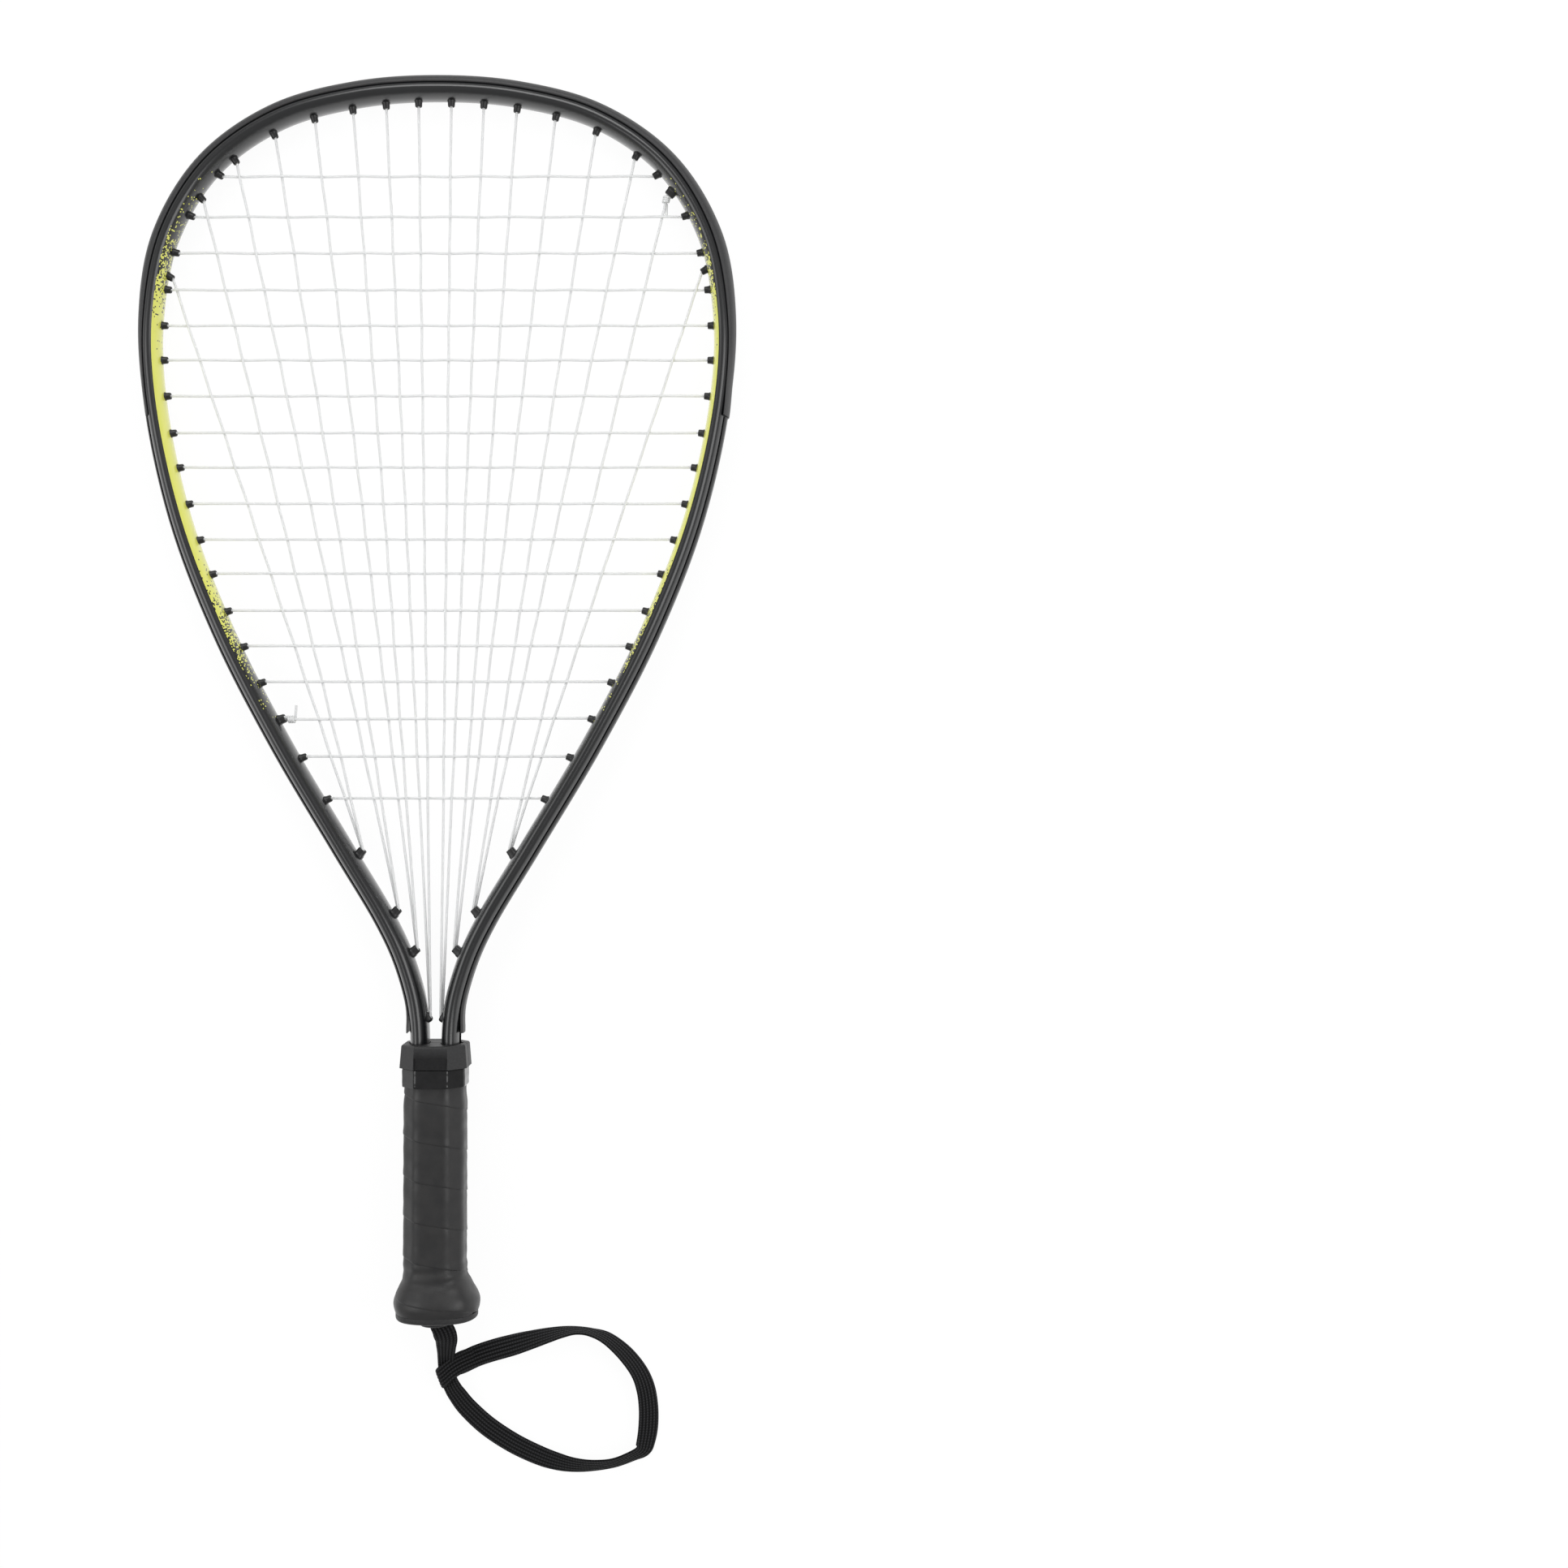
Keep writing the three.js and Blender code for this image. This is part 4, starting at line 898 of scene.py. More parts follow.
def main_link(first, second, at_head):
    """Over the head a link passes the first cross's hole in a lane; at the throat each keeps a lane."""
    ends = [main_ends[main][0 if at_head else 1] for main in (first, second)]
    if at_head:
        passes_cross = max(from_edge(first), from_edge(second)) == 2
        return groove_run(*ends, main_side(first) * lane if passes_cross else 0)
    return groove_run(*ends, np.sign(ends[0]["up"]) * lane)


def strand_line():
    """The whole strand: in at the head tie, the mains, the crosses, and out at the side tie."""
    lines = [np.array([tip_point(head_tie), out_point(head_tie)])]
    lines.append(groove_run(head_tie, head_ends[-1], lane))
    for step, main in enumerate(strand_mains):
        lines.append(main_run(main) if step % 2 == 0 else main_run(main)[::-1])
        if step + 1 < main_count:
            lines.append(main_link(main, strand_mains[step + 1], step % 2 == 1))
    lines.append(groove_run(head_ends[0], cross_ends[-1][0], lane))
    for cross in range(len(cross_shares)):
        lines.append(cross_run(cross) if cross % 2 == 0 else cross_run(cross)[::-1])
        if cross + 1 < len(cross_shares):
            side = 1 if cross % 2 == 0 else -1
            up = -lane if cross in (0, 2) else 0
            lines.append(groove_run(cross_ends[side][cross], cross_ends[side][cross + 1], up))
    lines.append(groove_run(cross_ends[-1][len(cross_shares) - 1], side_tie, lane))
    lines.append(np.array([out_point(side_tie), tip_point(side_tie)]))
    return np.vstack(lines)


def even_ring(line, radius, count):
    """A round tube along a line: the ring at a corner is turned halfway between the runs that meet."""
    steps = unit_rows(np.diff(line, axis=0))
    ahead = np.vstack([steps[:1], steps[:-1] + steps[1:], steps[-1:]])
    return carry(line, ahead, circle(radius, count), np.zeros(len(line)))


strand = strand_line()
print(f"strand: {run_of(strand)[-1] / 1000:.2f} m in {len(strand)} steps")
strand_skin = skin(lay_down(even_ring(strand, gut_radius, 10)))
make_piece("string_bed_woven", [strand_skin], gut, ["string_bed"])

# %% [markdown]
# ### The two knots
# The strand's ends come back out of a barrel that another run uses, and each is tied to that run with
# half hitches: a few tight turns round it and a cut tail. The line is a helix of two string radii round
# the run.

# %% Tie-off knots
knot_turns, knot_start, knot_stop, tail_length = 2.75, 1.4, 4.1, 5.6
helix_radii, drawn_share = 2.02, 0.98


def knot_line(end, tips, tail_way):
    """From the barrel's tip nearly three times round the run, and off along the tail."""
    way = unit(tips[1] - tips[0])
    side = unit(np.cross(way, (0, 0, 1)))
    rise = np.cross(side, way)
    start = tip_point(end)
    if (start - tips[0]) @ side < 0:
        side = -side
    t = np.linspace(0, 1, 60)[:, None]
    angle = 2 * np.pi * knot_turns * t
    helix = tips[0] + way * (knot_start + (knot_stop - knot_start) * t)
    helix = helix + helix_radii * gut_radius * (np.cos(angle) * side + np.sin(angle) * rise)
    lead = np.array([start, start + way * 0.6])
    leave = unit(helix[-1] - helix[-2])
    bend = helix[-1] + leave * 0.5 + tail_way * 0.4
    tail = bend + tail_way * np.linspace(0.4, tail_length, 6)[:, None]
    return np.vstack([lead, helix, [bend], tail])


def tie_knot(name, node, end, tips, tail_way):
    """A knot's tube with its cut end."""
    line = knot_line(end, tips, unit(np.array(tail_way, float)))
    knot_skin = skin(lay_down(even_ring(line, gut_radius * drawn_share, 12)))
    make_piece(name, [knot_skin], gut, [node])


head_way = unit(main_tips[tied_main, 1] - main_tips[tied_main, 0])
head_tail = head_way + 0.2 * np.array([-head_way[1], head_way[0], 0])
tie_knot("head_tie_off", "head_tie_knot", head_tie, main_tips[tied_main], head_tail)
tie_knot("side_tie_off", "side_tie_knot", side_tie, cross_tips[tied_cross], (0.1, 1, 0.12))

# %% [markdown]
# ## Handle
# The frame's legs are clamped between two moulded shells. Under the grip they stay hidden, and above it
# they show as a collar with crisp but not sharp edges. These shapes are right in the CAD model, so each
# is a copy of its node with the flat faces joined and the edges rounded by a Bevel.

# %% Spark-eroded plastic, matte with a fine texture, and copies of CAD nodes with round edges
abs_plastic = mottled_finish(
    "abs_spark_eroded", "#2a2a2b", 0.5, 0.9, "#262627", "#2e2e2f", (0.34, 0.035)
)
weld_distance, flat_degrees, crease_degrees = 2e-6, 0.6, 28
# The collar's front face is above this height, and its sunk panel is inside these limits across and along
front_face_low, panel_half_width, panel_end = 28.8, 7.5, -160
long_edge, long_edge_share = 5, 0.25


def edge_share(edge):
    """The share of the bevel's width that an edge gets: none where the faces meet nearly flat and at the
    collar's sunk panel, and little along the long edges beside it, where there is no room."""
    if edge.calc_face_angle(0) < math.radians(crease_degrees):
        return 0.0
    across, along, up = np.array([vertex.co for vertex in edge.verts]).T * 1000
    if up.min() < front_face_low:
        return 1.0
    if along.max() < panel_end and np.abs(across).max() < panel_half_width:
        return 0.0
    return long_edge_share if np.ptp(along) > long_edge else 1.0


def softened(name, node, width):
    """A copy of a node with doubles merged, flat faces joined and edges beveled by a width in mm."""
    shape = bmesh.new()
    shape.from_mesh(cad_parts[node].data)
    bmesh.ops.remove_doubles(shape, verts=shape.verts, dist=weld_distance)
    bmesh.ops.dissolve_limit(
        shape, angle_limit=math.radians(flat_degrees), verts=shape.verts, edges=shape.edges,
        use_dissolve_boundaries=False,
    )
    weight = shape.edges.layers.float.new("bevel_weight_edge")
    for edge in shape.edges:
        edge[weight] = edge_share(edge)
    mesh = bpy.data.meshes.new(name)
    shape.to_mesh(mesh)
    shape.free()
    mesh.shade_smooth()
    mesh.set_sharp_from_angle(angle=math.radians(crease_degrees))
    piece = add_to_racket(name, mesh, abs_plastic, [node])
    bevel = piece.modifiers.new("edges", "BEVEL")
    bevel.width, bevel.segments = width / 1000, 2
    bevel.limit_method = "WEIGHT"
    bevel.harden_normals = True


for side_name in ("front", "back"):
    softened(f"{side_name}_shell_moulded", f"{side_name}_handle_shell", 0.25)

# %% [markdown]
# The plug in the butt is a disc on a spigot, slotted for the doubled cord. Its rings change from the
# round rim to the slot with round ends, so one skin makes rim, face and slot together.

# %% Butt plug
plug_radius, spigot_radius, plug_reach, cap_floor = 6.95, 6.3, 3.5, 3.2
slot_half_width, slot_half_depth = 5.15, 1.8


def plug_skin(count=96):
    """Rings from the spigot's top over the disc and back through the slot."""
    round_ring = circle(1, count)
    across = round_ring[:, 0] * slot_half_width
    past = np.maximum(np.abs(across) - slot_half_width + slot_half_depth, 0) / slot_half_depth
    slot_ring = np.stack([
        across, np.sign(round_ring[:, 1]) * slot_half_depth * np.sqrt(np.clip(1 - past**2, 0, 1)),
    ], axis=1)
    # Height, radius and, for a ring of the slot, its size
    rows = [
        (cap_floor, spigot_radius, 0), (-fit_gap, spigot_radius, 0), (-fit_gap, plug_radius - 0.15, 0),
        (-fit_gap - 0.15, plug_radius, 0), (-plug_reach + 1.1, plug_radius, 0),
        (-plug_reach + 0.5, plug_radius - 0.25, 0), (-plug_reach + 0.15, plug_radius - 0.7, 0),
        (-plug_reach, plug_radius - 1.3, 0), (-plug_reach, 0, 1.05), (-plug_reach + 0.25, 0, 1),
        (cap_floor, 0, 1),
    ]
    rings = []
    for height, radius, slotted in rows:
        ring = slot_ring * slotted if slotted else round_ring * radius
        rings.append(np.stack([ring[:, 0], np.full(count, height), ring[:, 1]], axis=1))
    return skin(lay_down(np.array(rings)), closed_run=True)


make_piece("butt_plug_moulded", [plug_skin()], abs_plastic, ["butt_plug"])

# %% [markdown]
# ## Grip
# The grip is one strip of soft polyurethane tape wound up the octagonal handle from the butt. Each turn
# lies over the upper edge of the one before it, so every seam shows as a low lip. It is a ring round the
# strip's section carried up a helix, and the octagon's corners are rounded by averaging the outline over
# a short way.

# %% Grip tape and glossy tape
def grip_finish():
    """Smooth polyurethane with fine creases, pores and a faint bloom where hands and packing rub it."""
    material, tree, shader, where = new_finish("polyurethane_grip_tape", "#2a2a2b", 0.5, Sheen_Weight=0.08)
    place = millimetres(tree, where.outputs["Object"])
    mottle(tree, shader, place, 6.0, "#222223", "#2b2a2a", 0.3, 0.7)
    gloss = remap(tree, noise(tree, place, 9, 3.0), 0.3, 0.7, 0.36, 0.56)
    tree.links.new(gloss, shader.inputs["Roughness"])
    grain(tree, shader, place, 0.35, 0.014, 4.0)
    return material


grip_rubber = grip_finish()
grip_width, grip_depth, butt_width = 27.6, 26.2, 39.5
flare_length, bulge_drop_share = 27, 0.18
grip_thickness, strip_width, grip_pitch = 1.5, 17.4, 18
grip_bottom, grip_top, least_width = 2.9, 111.7, 0.8
front_flat_share, side_flat_share, side_length = 0.517, 0.48, 13.5
octagon = np.array([
    (1, side_flat_share), (front_flat_share, 1), (-front_flat_share, 1), (-1, side_flat_share),
    (-1, -side_flat_share), (-front_flat_share, -1), (front_flat_share, -1), (1, -side_flat_share),
])


def octagon_at(turn, rounding):
    """A point of the octagon for a count of its sides, averaged over a share of a side each way."""
    turn, rounding = alike(turn, rounding)
    steps = np.linspace(-1, 1, 13)
    weights = 1 - (steps * 0.8) ** 2
    at = (turn[..., None] + rounding[..., None] * steps) % 8
    k = at.astype(int) % 8
    part = (at - np.floor(at))[..., None]
    points = octagon[k] * (1 - part) + octagon[(k + 1) % 8] * part
    return (points * weights[:, None]).sum(axis=-2) / weights.sum()


def grip_halves(height):
    """Half width and half depth of the wrapped handle at a height, with the butt flare's swell."""
    height = np.asarray(height, float)
    below = np.maximum(bulge_height - height, 0) / (bulge_height - grip_bottom)
    above = np.clip((height - bulge_height) / (flare_length - bulge_height), 0, 1)
    swell = (1 - bulge_drop_share * below**2) * ((1 + np.cos(np.pi * above)) / 2) ** 2
    return np.stack([
        grip_width + (butt_width - grip_width) * swell, grip_depth + (butt_depth - grip_depth) * swell,
    ], axis=-1) / 2


bulb_top, bulb_sway = 26, 0.9
corner_rounding, bulb_rounding = 0.24, 0.5


def grip_rounding(height):
    """The handle's corners are rounded by a quarter of a side, the flare's until it is a smooth bulb."""
    return corner_rounding + bulb_rounding * eased((bulb_top - height) / 15)


def grip_sway(height):
    """The flare bulges a little further to the right, where the tape was pulled over it: x in mm."""
    return bulb_sway * eased((bulb_top - np.asarray(height, float)) / 18)


fold_height, fold_reach, fold_depth = 20, 6, 0.3


def ripple(turn, height):
    """Low unevenness of tape drawn round a handle, in mm: long waves that run with the strip, and folds
    that gather where the flare begins."""
    slant = height - grip_pitch * turn / 8
    long_waves = (
        0.06 * np.sin(0.55 * slant + 1.3 * np.sin(0.8 * turn)) * np.sin(0.17 * height + 0.5 * turn)
        + 0.025 * np.sin(1.1 * height + 0.6 * turn) * np.sin(0.21 * height - 1.1 * turn + 2.0)
    )
    at_flare = np.exp(-(((height - fold_height) / fold_reach) ** 2))
    folds = fold_depth * np.sin(1.15 * height + 0.9 * np.sin(1.4 * turn) + 0.35 * turn)
    return long_waves + at_flare * folds * (0.6 + 0.4 * np.sin(0.9 * turn))


overlap, edge_round, edge_reach = 1.3, 0.4, 0.7
lip_height, lip_reach, tuck_depth, tuck_reach = 0.16, 2.6, 0.16, 2.0
slimmer_at_top, slimmer_reach = 0.2, 25
under_tape, under_tape_start, under_tape_reach = 0.55, 16.9, 7


def grip_ring(turn, across=30):
    """The strip's section at a point of its helix: an inner row up the strip and an outer row back down."""
    half_strip = (strip_width + overlap) / 2
    middle = grip_bottom + least_width - strip_width / 2 + grip_pitch * turn / 8
    low = max(middle - half_strip, grip_bottom)
    high = min(middle + half_strip, grip_top)
    share = (1 - np.cos(np.linspace(0, np.pi, across))) / 2
    height = low + (high - low) * share
    point = octagon_at(turn, grip_rounding(height))
    slimmer = slimmer_at_top * eased((grip_top - height) / slimmer_reach)
    inner = grip_halves(height) - grip_thickness + 0.05
    thinned = under_tape * eased((height - grip_top + under_tape_start) / under_tape_reach)
    # The edges are rounded, but for the lowest, which lies on the cap's ledge
    from_low = height - low if low > grip_bottom + 0.01 else strip_width
    edge = np.clip(np.minimum(from_low, high - height) / edge_reach, 0, 1)
    rounded = edge_round * (1 - np.sqrt(1 - (1 - edge) ** 2))
    lip = lip_height * np.exp(-(((height - low) / lip_reach) ** 2)) * (low > grip_bottom + 0.5)
    tuck = tuck_depth * np.exp(-(((high - height) / tuck_reach) ** 2)) * (high < grip_top - 0.5)
    outer = grip_halves(height) + (lip - tuck - rounded - thinned - slimmer + ripple(turn, height))[:, None]
    inner, outer = (
        np.stack([x + grip_sway(height), height, z], axis=1)
        for x, z in ((point * halves).T for halves in (inner, outer))
    )
    return np.vstack([inner, outer[::-1]])


def grip_skin():
    """Rings every twelfth of a side, from the first sliver at the butt to the last under the tape."""
    last = (grip_top - grip_bottom + strip_width - 2 * least_width) / grip_pitch * 8
    turns = np.linspace(0, last, math.ceil(last * 12))
    return skin(lay_down(np.array([grip_ring(turn) for turn in turns])), turns * side_length)


make_piece("grip_wrap_tape", [grip_skin()], grip_rubber, ["grip_wrap"], sharp=60)

# %% [markdown]
# The butt cap closes the lower end. Only its rim shows, so its rings follow the same rounded outline as
# the grip from the ledge under it down to the flat, and go back up inside through the plug's hole to the
# socket.

# %% Butt cap
cap_top, rim_round, cap_wall_gap = 17, 1.3, 2.1
knot_room, shell_bottom = 10.0, 11.0


def octagon_row(height, halves, rounding, sway=0.0, count=160):
    """A ring of the octagon at a height, with its half width and half depth."""
    shape = octagon_at(np.linspace(0, 8, count, endpoint=False), rounding)
    x, z = (shape * halves).T
    return np.stack([x + sway, np.full(count, height), z], axis=1)


def round_row(height, radius, count=160):
    """A round ring at a height, in step with the octagon's."""
    shape = unit_rows(octagon_at(np.linspace(0, 8, count, endpoint=False), 0.7)) * radius
    return np.stack([shape[:, 0], np.full(count, height), shape[:, 1]], axis=1)


def cap_skin():
    """Outside from the top to the ledge, round the rim to the flat, up the plug's hole, over the floor of
    the knot's room and up the socket to the top again."""
    ledge = grip_bottom - 0.03
    rim = grip_halves(grip_bottom) - 0.12
    bulb = grip_rounding(ledge)
    rows = [
        octagon_row(height, grip_halves(height) - cap_wall_gap, grip_rounding(height), grip_sway(height))
        for height in np.linspace(cap_top, grip_bottom, 12)
    ]
    sway = grip_sway(ledge)
    rows += [octagon_row(ledge, rim - inset, bulb, sway) for inset in (1.6, 0.15)]
    rows.append(octagon_row(ledge - 0.15, rim, bulb, sway))
    for turn in np.radians([0, 18, 36, 54, 72, 90]):
        inset = rim_round * (1 - math.cos(turn))
        rows.append(octagon_row(rim_round * (1 - math.sin(turn)), rim - inset, bulb, sway))
    hole = spigot_radius + fit_gap
    rows += [round_row(0, hole + 1.2), round_row(0, hole), round_row(cap_floor, hole)]
    rows += [round_row(cap_floor, knot_room), round_row(shell_bottom - fit_gap, knot_room)]
    socket = grip_halves(flare_length) - grip_thickness
    rows += [octagon_row(height, socket, 0.02) for height in (shell_bottom - fit_gap, cap_top)]
    return skin(lay_down(np.array(rows)), closed_run=True)


make_piece("butt_cap_moulded", [cap_skin()], abs_plastic, ["butt_cap"])

# %% The glossy tape that finishes the grip
def gloss_finish():
    """Black vinyl tape: glossy, with long shallow creases where it was pulled tight over the edge."""
    material, tree, shader, where = new_finish("black_vinyl_tape", "#171718", 0.14)
    place = millimetres(tree, where.outputs["Object"])
    mottle(tree, shader, place, 3.0, "#131314", "#1b1b1c")
    stretch = {"Scale": (0.3, 1.2, 0.3), "Rotation": (0, 0, -0.12)}
    stretched = add_node(tree, "ShaderNodeMapping", {}, stretch, {"Vector": place})
    grain(tree, shader, stretched.outputs["Vector"], 3.0, 0.07, 1.0)
    return material


tape_width, tape_thickness, tape_stand, tape_wrinkle = 7.9, 0.4, 0.27, 0.07


def tape_skin(count=240, across=16):
    """A band round the grip, wrinkled along its length, in a ring of outer and inner heights."""
    turn = np.linspace(0, 8, count, endpoint=False)
    point = octagon_at(turn, 0.1)
    height = np.linspace(grip_top - tape_width, grip_top, across)
    outer_halves = grip_halves(grip_top) + tape_stand
    slow, quick = 1.1 * turn[:, None] - 0.5 * height, 1.9 * turn[:, None] + 0.9 * height
    wrinkle = tape_wrinkle * np.sin(quick) * np.sin(slow)
    edge = np.minimum(height - height[0], height[-1] - height)
    rounding = 0.12 * np.clip(1 - edge / 0.4, 0, 1) ** 2
    stand = wrinkle * np.clip(edge / 0.8, 0, 1) - rounding
    outer = point[:, None] * (outer_halves + stand[..., None])
    inner = np.broadcast_to(point[:, None] * (outer_halves - tape_thickness), outer.shape)
    rows = np.concatenate([outer, inner[:, ::-1]], axis=1)
    heights = np.concatenate([height, height[::-1]])
    grid = np.stack([rows[..., 0], np.broadcast_to(heights, rows.shape[:2]), rows[..., 1]], axis=-1)
    return skin(lay_down(grid), closed_run=True)


make_piece(
    "finishing_tape_gloss", [tape_skin()], gloss_finish(), ["finishing_tape"], sharp=50
)

# %% [markdown]
# ## Wrist cord
# The cord is a flat tubular braid of black polyester, doubled where it leaves the plug and tied in a knot
# that makes the hand loop. It is one length of braid: out of the plug, through the knot, round the loop,
# back through the knot and into the plug. Its section is a flat oval with six lengthwise ribs, carried
# along its route and rolled where it stands on its edge.

# %% Braid: polyester plaits in ribs
rib_count, cord_width, cord_thickness = 6, 9.7, 1.5
plait_length, rib_rise, rib_sink = 1.25, 0.24, 0.22


def braid_finish():
    """Each rib is a row of slanting plaits. The colour is a painted highlight on their backs and painted
    shade in the dips between them, taken from the same height that bumps them.
    """
    material, tree, shader, where = new_finish(
        "braided_polyester_cord", "#0f0f10", 0.7,
        Specular_IOR_Level=0.16, Sheen_Weight=0.05, Sheen_Roughness=0.4,
    )
    surface = add_node(tree, "ShaderNodeSeparateXYZ", {}, {}, {0: where.outputs["UV"]})
    half_rib = cord_width / rib_count / 2
    rib = maths(tree, "PINGPONG", surface.outputs["Y"], half_rib)
    slant = maths(tree, "MULTIPLY_ADD", rib, 0.9, surface.outputs["X"])
    wave = maths(tree, "SINE", maths(tree, "MULTIPLY", slant, 2 * math.pi / plait_length))
    height = remap(tree, wave, -1.0, 1.0, 0.42, 1.0)
    plait_bump_and_painted_light = maths(tree, "MULTIPLY", height, remap(tree, rib, 0.0, half_rib, 0.0, 1.0))
    # Painted light: the colour runs from painted shade between plaits and ribs to a painted highlight on
    # the plaits' backs
    shade(tree, shader, plait_bump_and_painted_light, "#070708", "#3d3d3f", 0.15, 1.0)
    emboss(tree, shader, plait_bump_and_painted_light, 0.18, 0.9)
    return material


braid = braid_finish()


def braid_ring(width=cord_width, count=61):
    """A flat oval with ribs: up is the half thickness times the root of (1 - across to the fifth), and to
    it each rib adds the root of half a sine wave. The ring runs along the top and back below."""
    even = np.linspace(1, -1, count)
    across = 0.75 * even + 0.25 * np.sin(np.pi / 2 * even)
    rib = rib_rise * np.sqrt(np.abs(np.sin(np.pi * rib_count / 2 * (across + 1))))
    up = np.sqrt(np.clip(1 - np.abs(across) ** 5, 0, 1)) * (cord_thickness / 2 - rib_sink + rib)
    top = np.stack([across * width / 2, up], axis=1)
    return np.vstack([top, (top * (1, -1))[-2:0:-1]])


braid_girth = np.concatenate([braid_ring()[:, 0], braid_ring()[:1, 0]]) + cord_width / 2

# %% The cord's route: x, distance from the butt, height above the table and roll in degrees
stub_route = np.array([
    (0, 3.2, 17.3, 0), (0.4, 0, 17.4, 0), (1.9, -3.3, 17.4, 0), (3.9, -6.6, 16.8, 3), (4.6, -10.5, 14.6, 6),
    (4.0, -14.8, 11.2, 4), (3.4, -18.8, 7.9, 2), (2.9, -22.5, 5.1, 0),
])
loop_route = np.array([
    (7.6, -25.9, 2.3, 0), (16, -22.3, 1.5, -5), (23.6, -19.6, 2, -11), (32.6, -16.9, 3, -26),
    (41.6, -14.1, 4.3, -46), (49.4, -11.9, 4.8, -62), (56.3, -10.3, 5.1, -76), (62.6, -9.6, 5.3, -87),
    (68.9, -10.5, 5.3, -86), (76.1, -13.4, 5.1, -71), (84, -20.1, 4.8, -57), (90.1, -28.1, 4.4, -48),
    (93.3, -36.1, 3.8, -36), (94.6, -44.9, 3.4, -29), (94.5, -53.9, 3.2, -25), (93.4, -60.8, 3.5, -30),
    (92.0, -64.4, 3.9, -38), (87.9, -66.6, 4.5, -48), (79.3, -69.8, 4.7, -50), (70.2, -71.1, 4.4, -44),
    (61.4, -71.1, 3.8, -33),
    (52.8, -69.8, 2.8, -19), (44, -67, 2.2, -10), (32.7, -61.6, 2, -6), (21.3, -54, 2.2, -5),
    (12.4, -45.5, 2.9, -9), (7.9, -39.5, 3.5, -16), (5.7, -35.8, 4, -23),
])
half_layer = 0.8
stub_width_shares = np.array([0.8, 0.8, 0.86, 1.03, 1.03, 0.92, 0.83, 0.78])


def on_table(route):
    """Cord rows in the part's frame: only the distance from the butt is moved."""
    return route - (0, middle_length, 0, 0)


def cord_rows():
    """Rows of x, y, z, roll and width share for the whole braid, one layer over the other where doubled."""
    shares = stub_width_shares[:, None]
    upper = np.hstack([on_table(stub_route) + (0, 0, half_layer, 0), shares])
    lower = np.hstack([on_table(stub_route) - (0, 0, half_layer, 0), shares])
    loop = np.hstack([on_table(loop_route), np.ones((len(loop_route), 1))])
    into_loop = np.array([(3.4, -25.6 - middle_length, 3.6, 0, 0.8)])
    out_of_loop = np.array([
        (4.2, -32.2 - middle_length, 4.4, -16, 0.85), (3.0, -27 - middle_length, 4.6, -8, 0.8),
    ])
    return np.vstack([lower, into_loop, loop, out_of_loop, upper[::-1]])


cord_line = smooth_line(cord_rows(), 720)
cord_run = run_of(cord_line)
cord_length = cord_run[-1] / 1000
print(f"cord: {cord_length:.3f} m")


def cord_skin(line):
    """The braid's ring carried along the cord, narrowed where it is drawn into the knot."""
    ring = braid_ring()[None] * np.stack([line[:, 4], np.ones(len(line))], axis=1)[:, None]
    route = line[:, :3]
    return skin(carry(route, np.gradient(route, axis=0), ring, line[:, 3]), run_of(line), braid_girth)


cord = make_piece(
    "wrist_cord", [cord_skin(cord_line)], braid, ["wrist_cord_stub", "wrist_cord_loop"], sharp=50
)

# %% The knots: bands of the same braid wrapped round what they hold
def band_skin(path, yaw, centre, width, count=110):
    """A closed band of braid along a path of points round a centre. Its side stays level and at one yaw, so
    it may turn in plan without tipping, as a braid does where it is folded over."""
    path = np.asarray(path, float)
    rounds = smooth_line(np.vstack([path[-3:], path, path[:4]]), (len(path) + 6) * 12 + 1)
    line = rounds[3 * 12:(len(path) + 3) * 12]
    at = np.linspace(0, len(line), count, endpoint=False)
    closed = np.vstack([line, line[:1]])
    line = np.stack([np.interp(at, np.arange(len(closed)), closed[:, k]) for k in range(3)], axis=1)
    side = np.array([-math.sin(yaw), math.cos(yaw), 0])
    ahead = np.roll(line, -1, axis=0) - np.roll(line, 1, axis=0)
    out = unit_rows(np.cross(ahead, side))
    ring = braid_ring(width)
    grid = centre + line[:, None] + ring[:, :1] * side + ring[:, 1:] * out[:, None]
    return skin(grid, run_of(line), braid_girth, closed_run=True)


def oval_path(half_across, half_up, lean, count=16):
    """An oval in the upright plane, leaned along the bundle."""
    angle = np.linspace(0, 2 * np.pi, count, endpoint=False)
    return np.stack([half_across * np.cos(angle), lean * np.cos(angle), half_up * np.sin(angle)], axis=1)


fold_path = [
    (-0.3, -32.0, 3.5), (0.4, -31.3, 5.5), (2.2, -29.6, 6.6), (4.4, -27.5, 6.6), (6.8, -25.9, 5.6),
    (9.6, -24.6, 4.2), (12.5, -23.6, 2.7), (15.2, -22.8, 1.3), (13, -23.5, 0.95), (9, -25, 0.92),
    (5, -27.7, 0.92), (2, -30.1, 1.0), (0.3, -31.5, 1.9),
]
outer_knot = make_piece("wrist_cord_overhand_knot", [
    band_skin(fold_path, math.radians(21), np.array([0, -middle_length, 0]), 9.2),
], braid, ["wrist_cord_knot"], sharp=50)
inner_centre = lay_down(np.array([0, cap_floor + fit_gap + 3.0, 0]))
inner_knot = make_piece("wrist_cord_stopper", [
    band_skin(oval_path(4.6, 3.0, 0.9), 0.0, inner_centre, 4.4),
    band_skin(oval_path(3.6, 2.2, -0.9), 0.0, inner_centre, 4.8),
], braid, ["cord_stopper_knot"], sharp=50)

# %% [markdown]
# ## Screws
# Two countersunk screws hold the shells together from the back, under the grip. They are carried over
# from the CAD model with a zinc finish.

# %% Zinc plated steel, with a faint spangle and fine scratches
zinc = mottled_finish(
    "zinc_plated_steel", "#b9bcc0", 0.32, 1.5, "#aeb1b6", "#c5c8cc", (0.4, 0.01), Metallic=1.0
)
for node in ("lower_handle_screw", "upper_handle_screw"):
    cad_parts[node].data.materials.clear()
    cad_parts[node].data.materials.append(zinc)

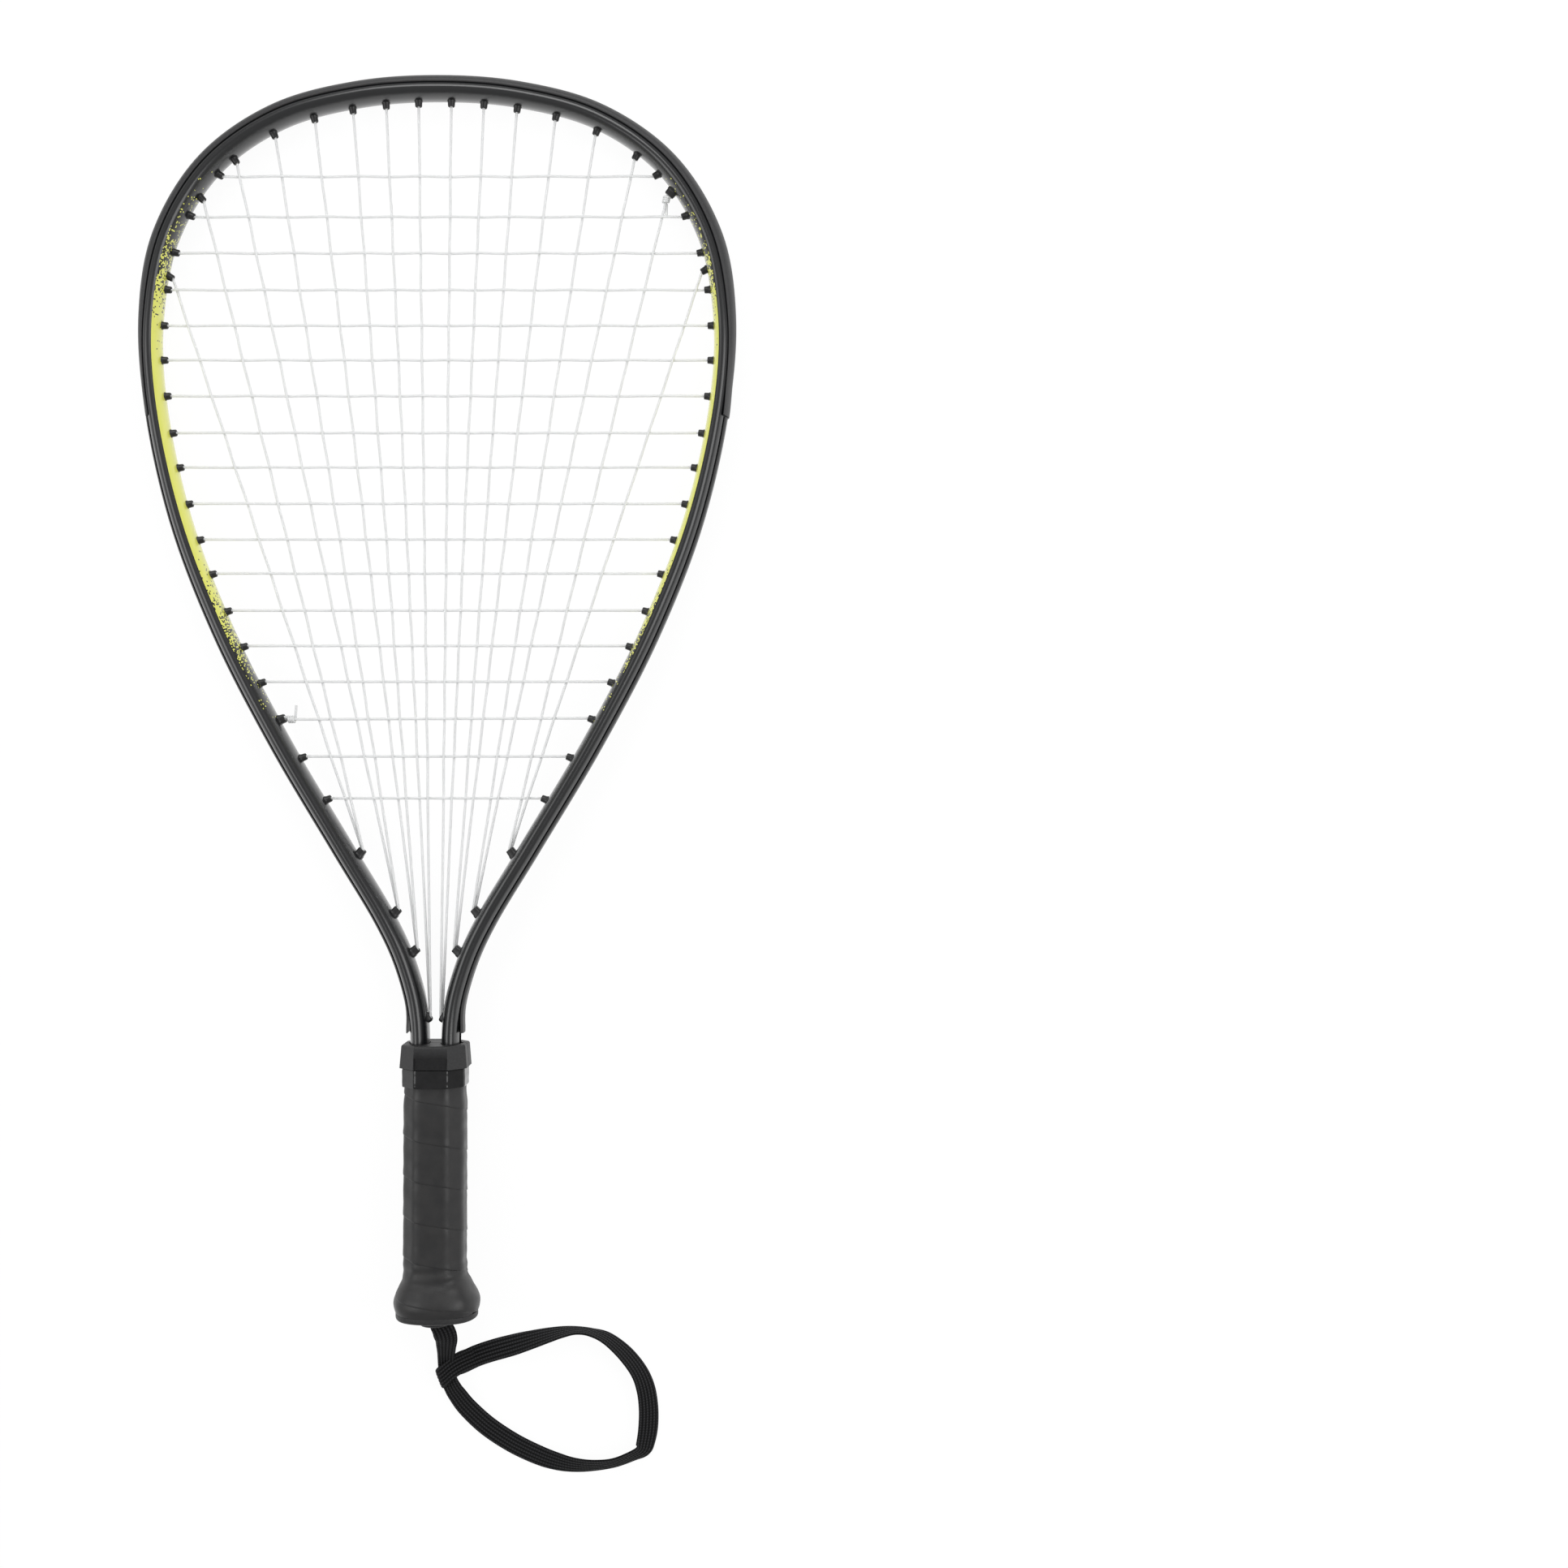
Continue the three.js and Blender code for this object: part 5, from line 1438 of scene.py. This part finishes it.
# %% [markdown]
# ## Floor and light
# The photograph is a product shot in a light tent, on white. The floor is white to the camera and in
# reflections, and keeps a faint shadow. Softboxes at the left, the right and the head make the crest
# lines, and over the racket, where the camera hangs, the tent is dimmer.

# %% Stage
seen_white_share, seen_white, matte_white = 0.92, 1.03, 0.92


def floor_material():
    """White to the eye, by Light Path, mixed with a diffuse white that takes the shadow."""
    material = bpy.data.materials.new("white_floor")
    material.use_nodes = True
    tree = material.node_tree
    tree.nodes.clear()
    path = add_node(tree, "ShaderNodeLightPath")
    seen = maths(tree, "MAXIMUM", path.outputs["Is Camera Ray"], path.outputs["Is Transmission Ray"])
    seen = maths(tree, "MAXIMUM", seen, path.outputs["Is Glossy Ray"])
    share = maths(tree, "MULTIPLY", seen, seen_white_share)
    white = add_node(tree, "ShaderNodeEmission", {}, {"Color": (1, 1, 1, 1), "Strength": seen_white})
    matte = add_node(tree, "ShaderNodeBsdfDiffuse", {}, {"Color": (*[matte_white] * 3, 1)})
    shaders = {0: share, 1: matte.outputs[0], 2: white.outputs[0]}
    mixed = add_node(tree, "ShaderNodeMixShader", {}, {}, shaders)
    add_node(tree, "ShaderNodeOutputMaterial", {}, {}, {"Surface": mixed.outputs[0]})
    return material


floor_half, floor_height = 3.0, -0.0002
floor_corners = np.array([(-1, -1, 0), (1, -1, 0), (1, 1, 0), (-1, 1, 0)]) * floor_half
floor_corners[:, 2] = floor_height
floor_mesh = bpy.data.meshes.new("floor")
floor_mesh.from_pydata(floor_corners.tolist(), [], [(0, 1, 2, 3)])
floor_mesh.materials.append(floor_material())
floor = bpy.data.objects.new("floor", floor_mesh)
bpy.context.scene.collection.objects.link(floor)

world = bpy.data.worlds.new("studio")
world.use_nodes = True
background = world.node_tree.nodes["Background"]
background.inputs["Color"].default_value = (1, 1, 1, 1)
sky_level = 0.38
sky_path = add_node(world.node_tree, "ShaderNodeLightPath")
through = maths(
    world.node_tree, "MAXIMUM", sky_path.outputs["Is Camera Ray"], sky_path.outputs["Is Transmission Ray"]
)
sky = remap(world.node_tree, through, 0.0, 1.0, sky_level, 1.0)
world.node_tree.links.new(sky, background.inputs["Strength"])
bpy.context.scene.world = world


def soft_lamp(name, place, size, power):
    """A square area lamp turned to the frame's origin: its place and size in metres, its power in watts."""
    data = bpy.data.lights.new(name, "AREA")
    data.size, data.energy = size, power
    lamp = bpy.data.objects.new(name, data)
    lamp.location = place
    lamp.rotation_euler = (-lamp.location).to_track_quat("-Z", "Y").to_euler()
    bpy.context.scene.collection.objects.link(lamp)


soft_lamp("left_softbox", (-1.0, 0.0, 1.0), 0.9, 5)
soft_lamp("right_softbox", (1.0, 0.0, 1.0), 0.9, 6)
soft_lamp("head_softbox", (0.0, 1.2, 1.1), 0.9, 8)
bpy.context.scene.view_settings.view_transform = "Standard"
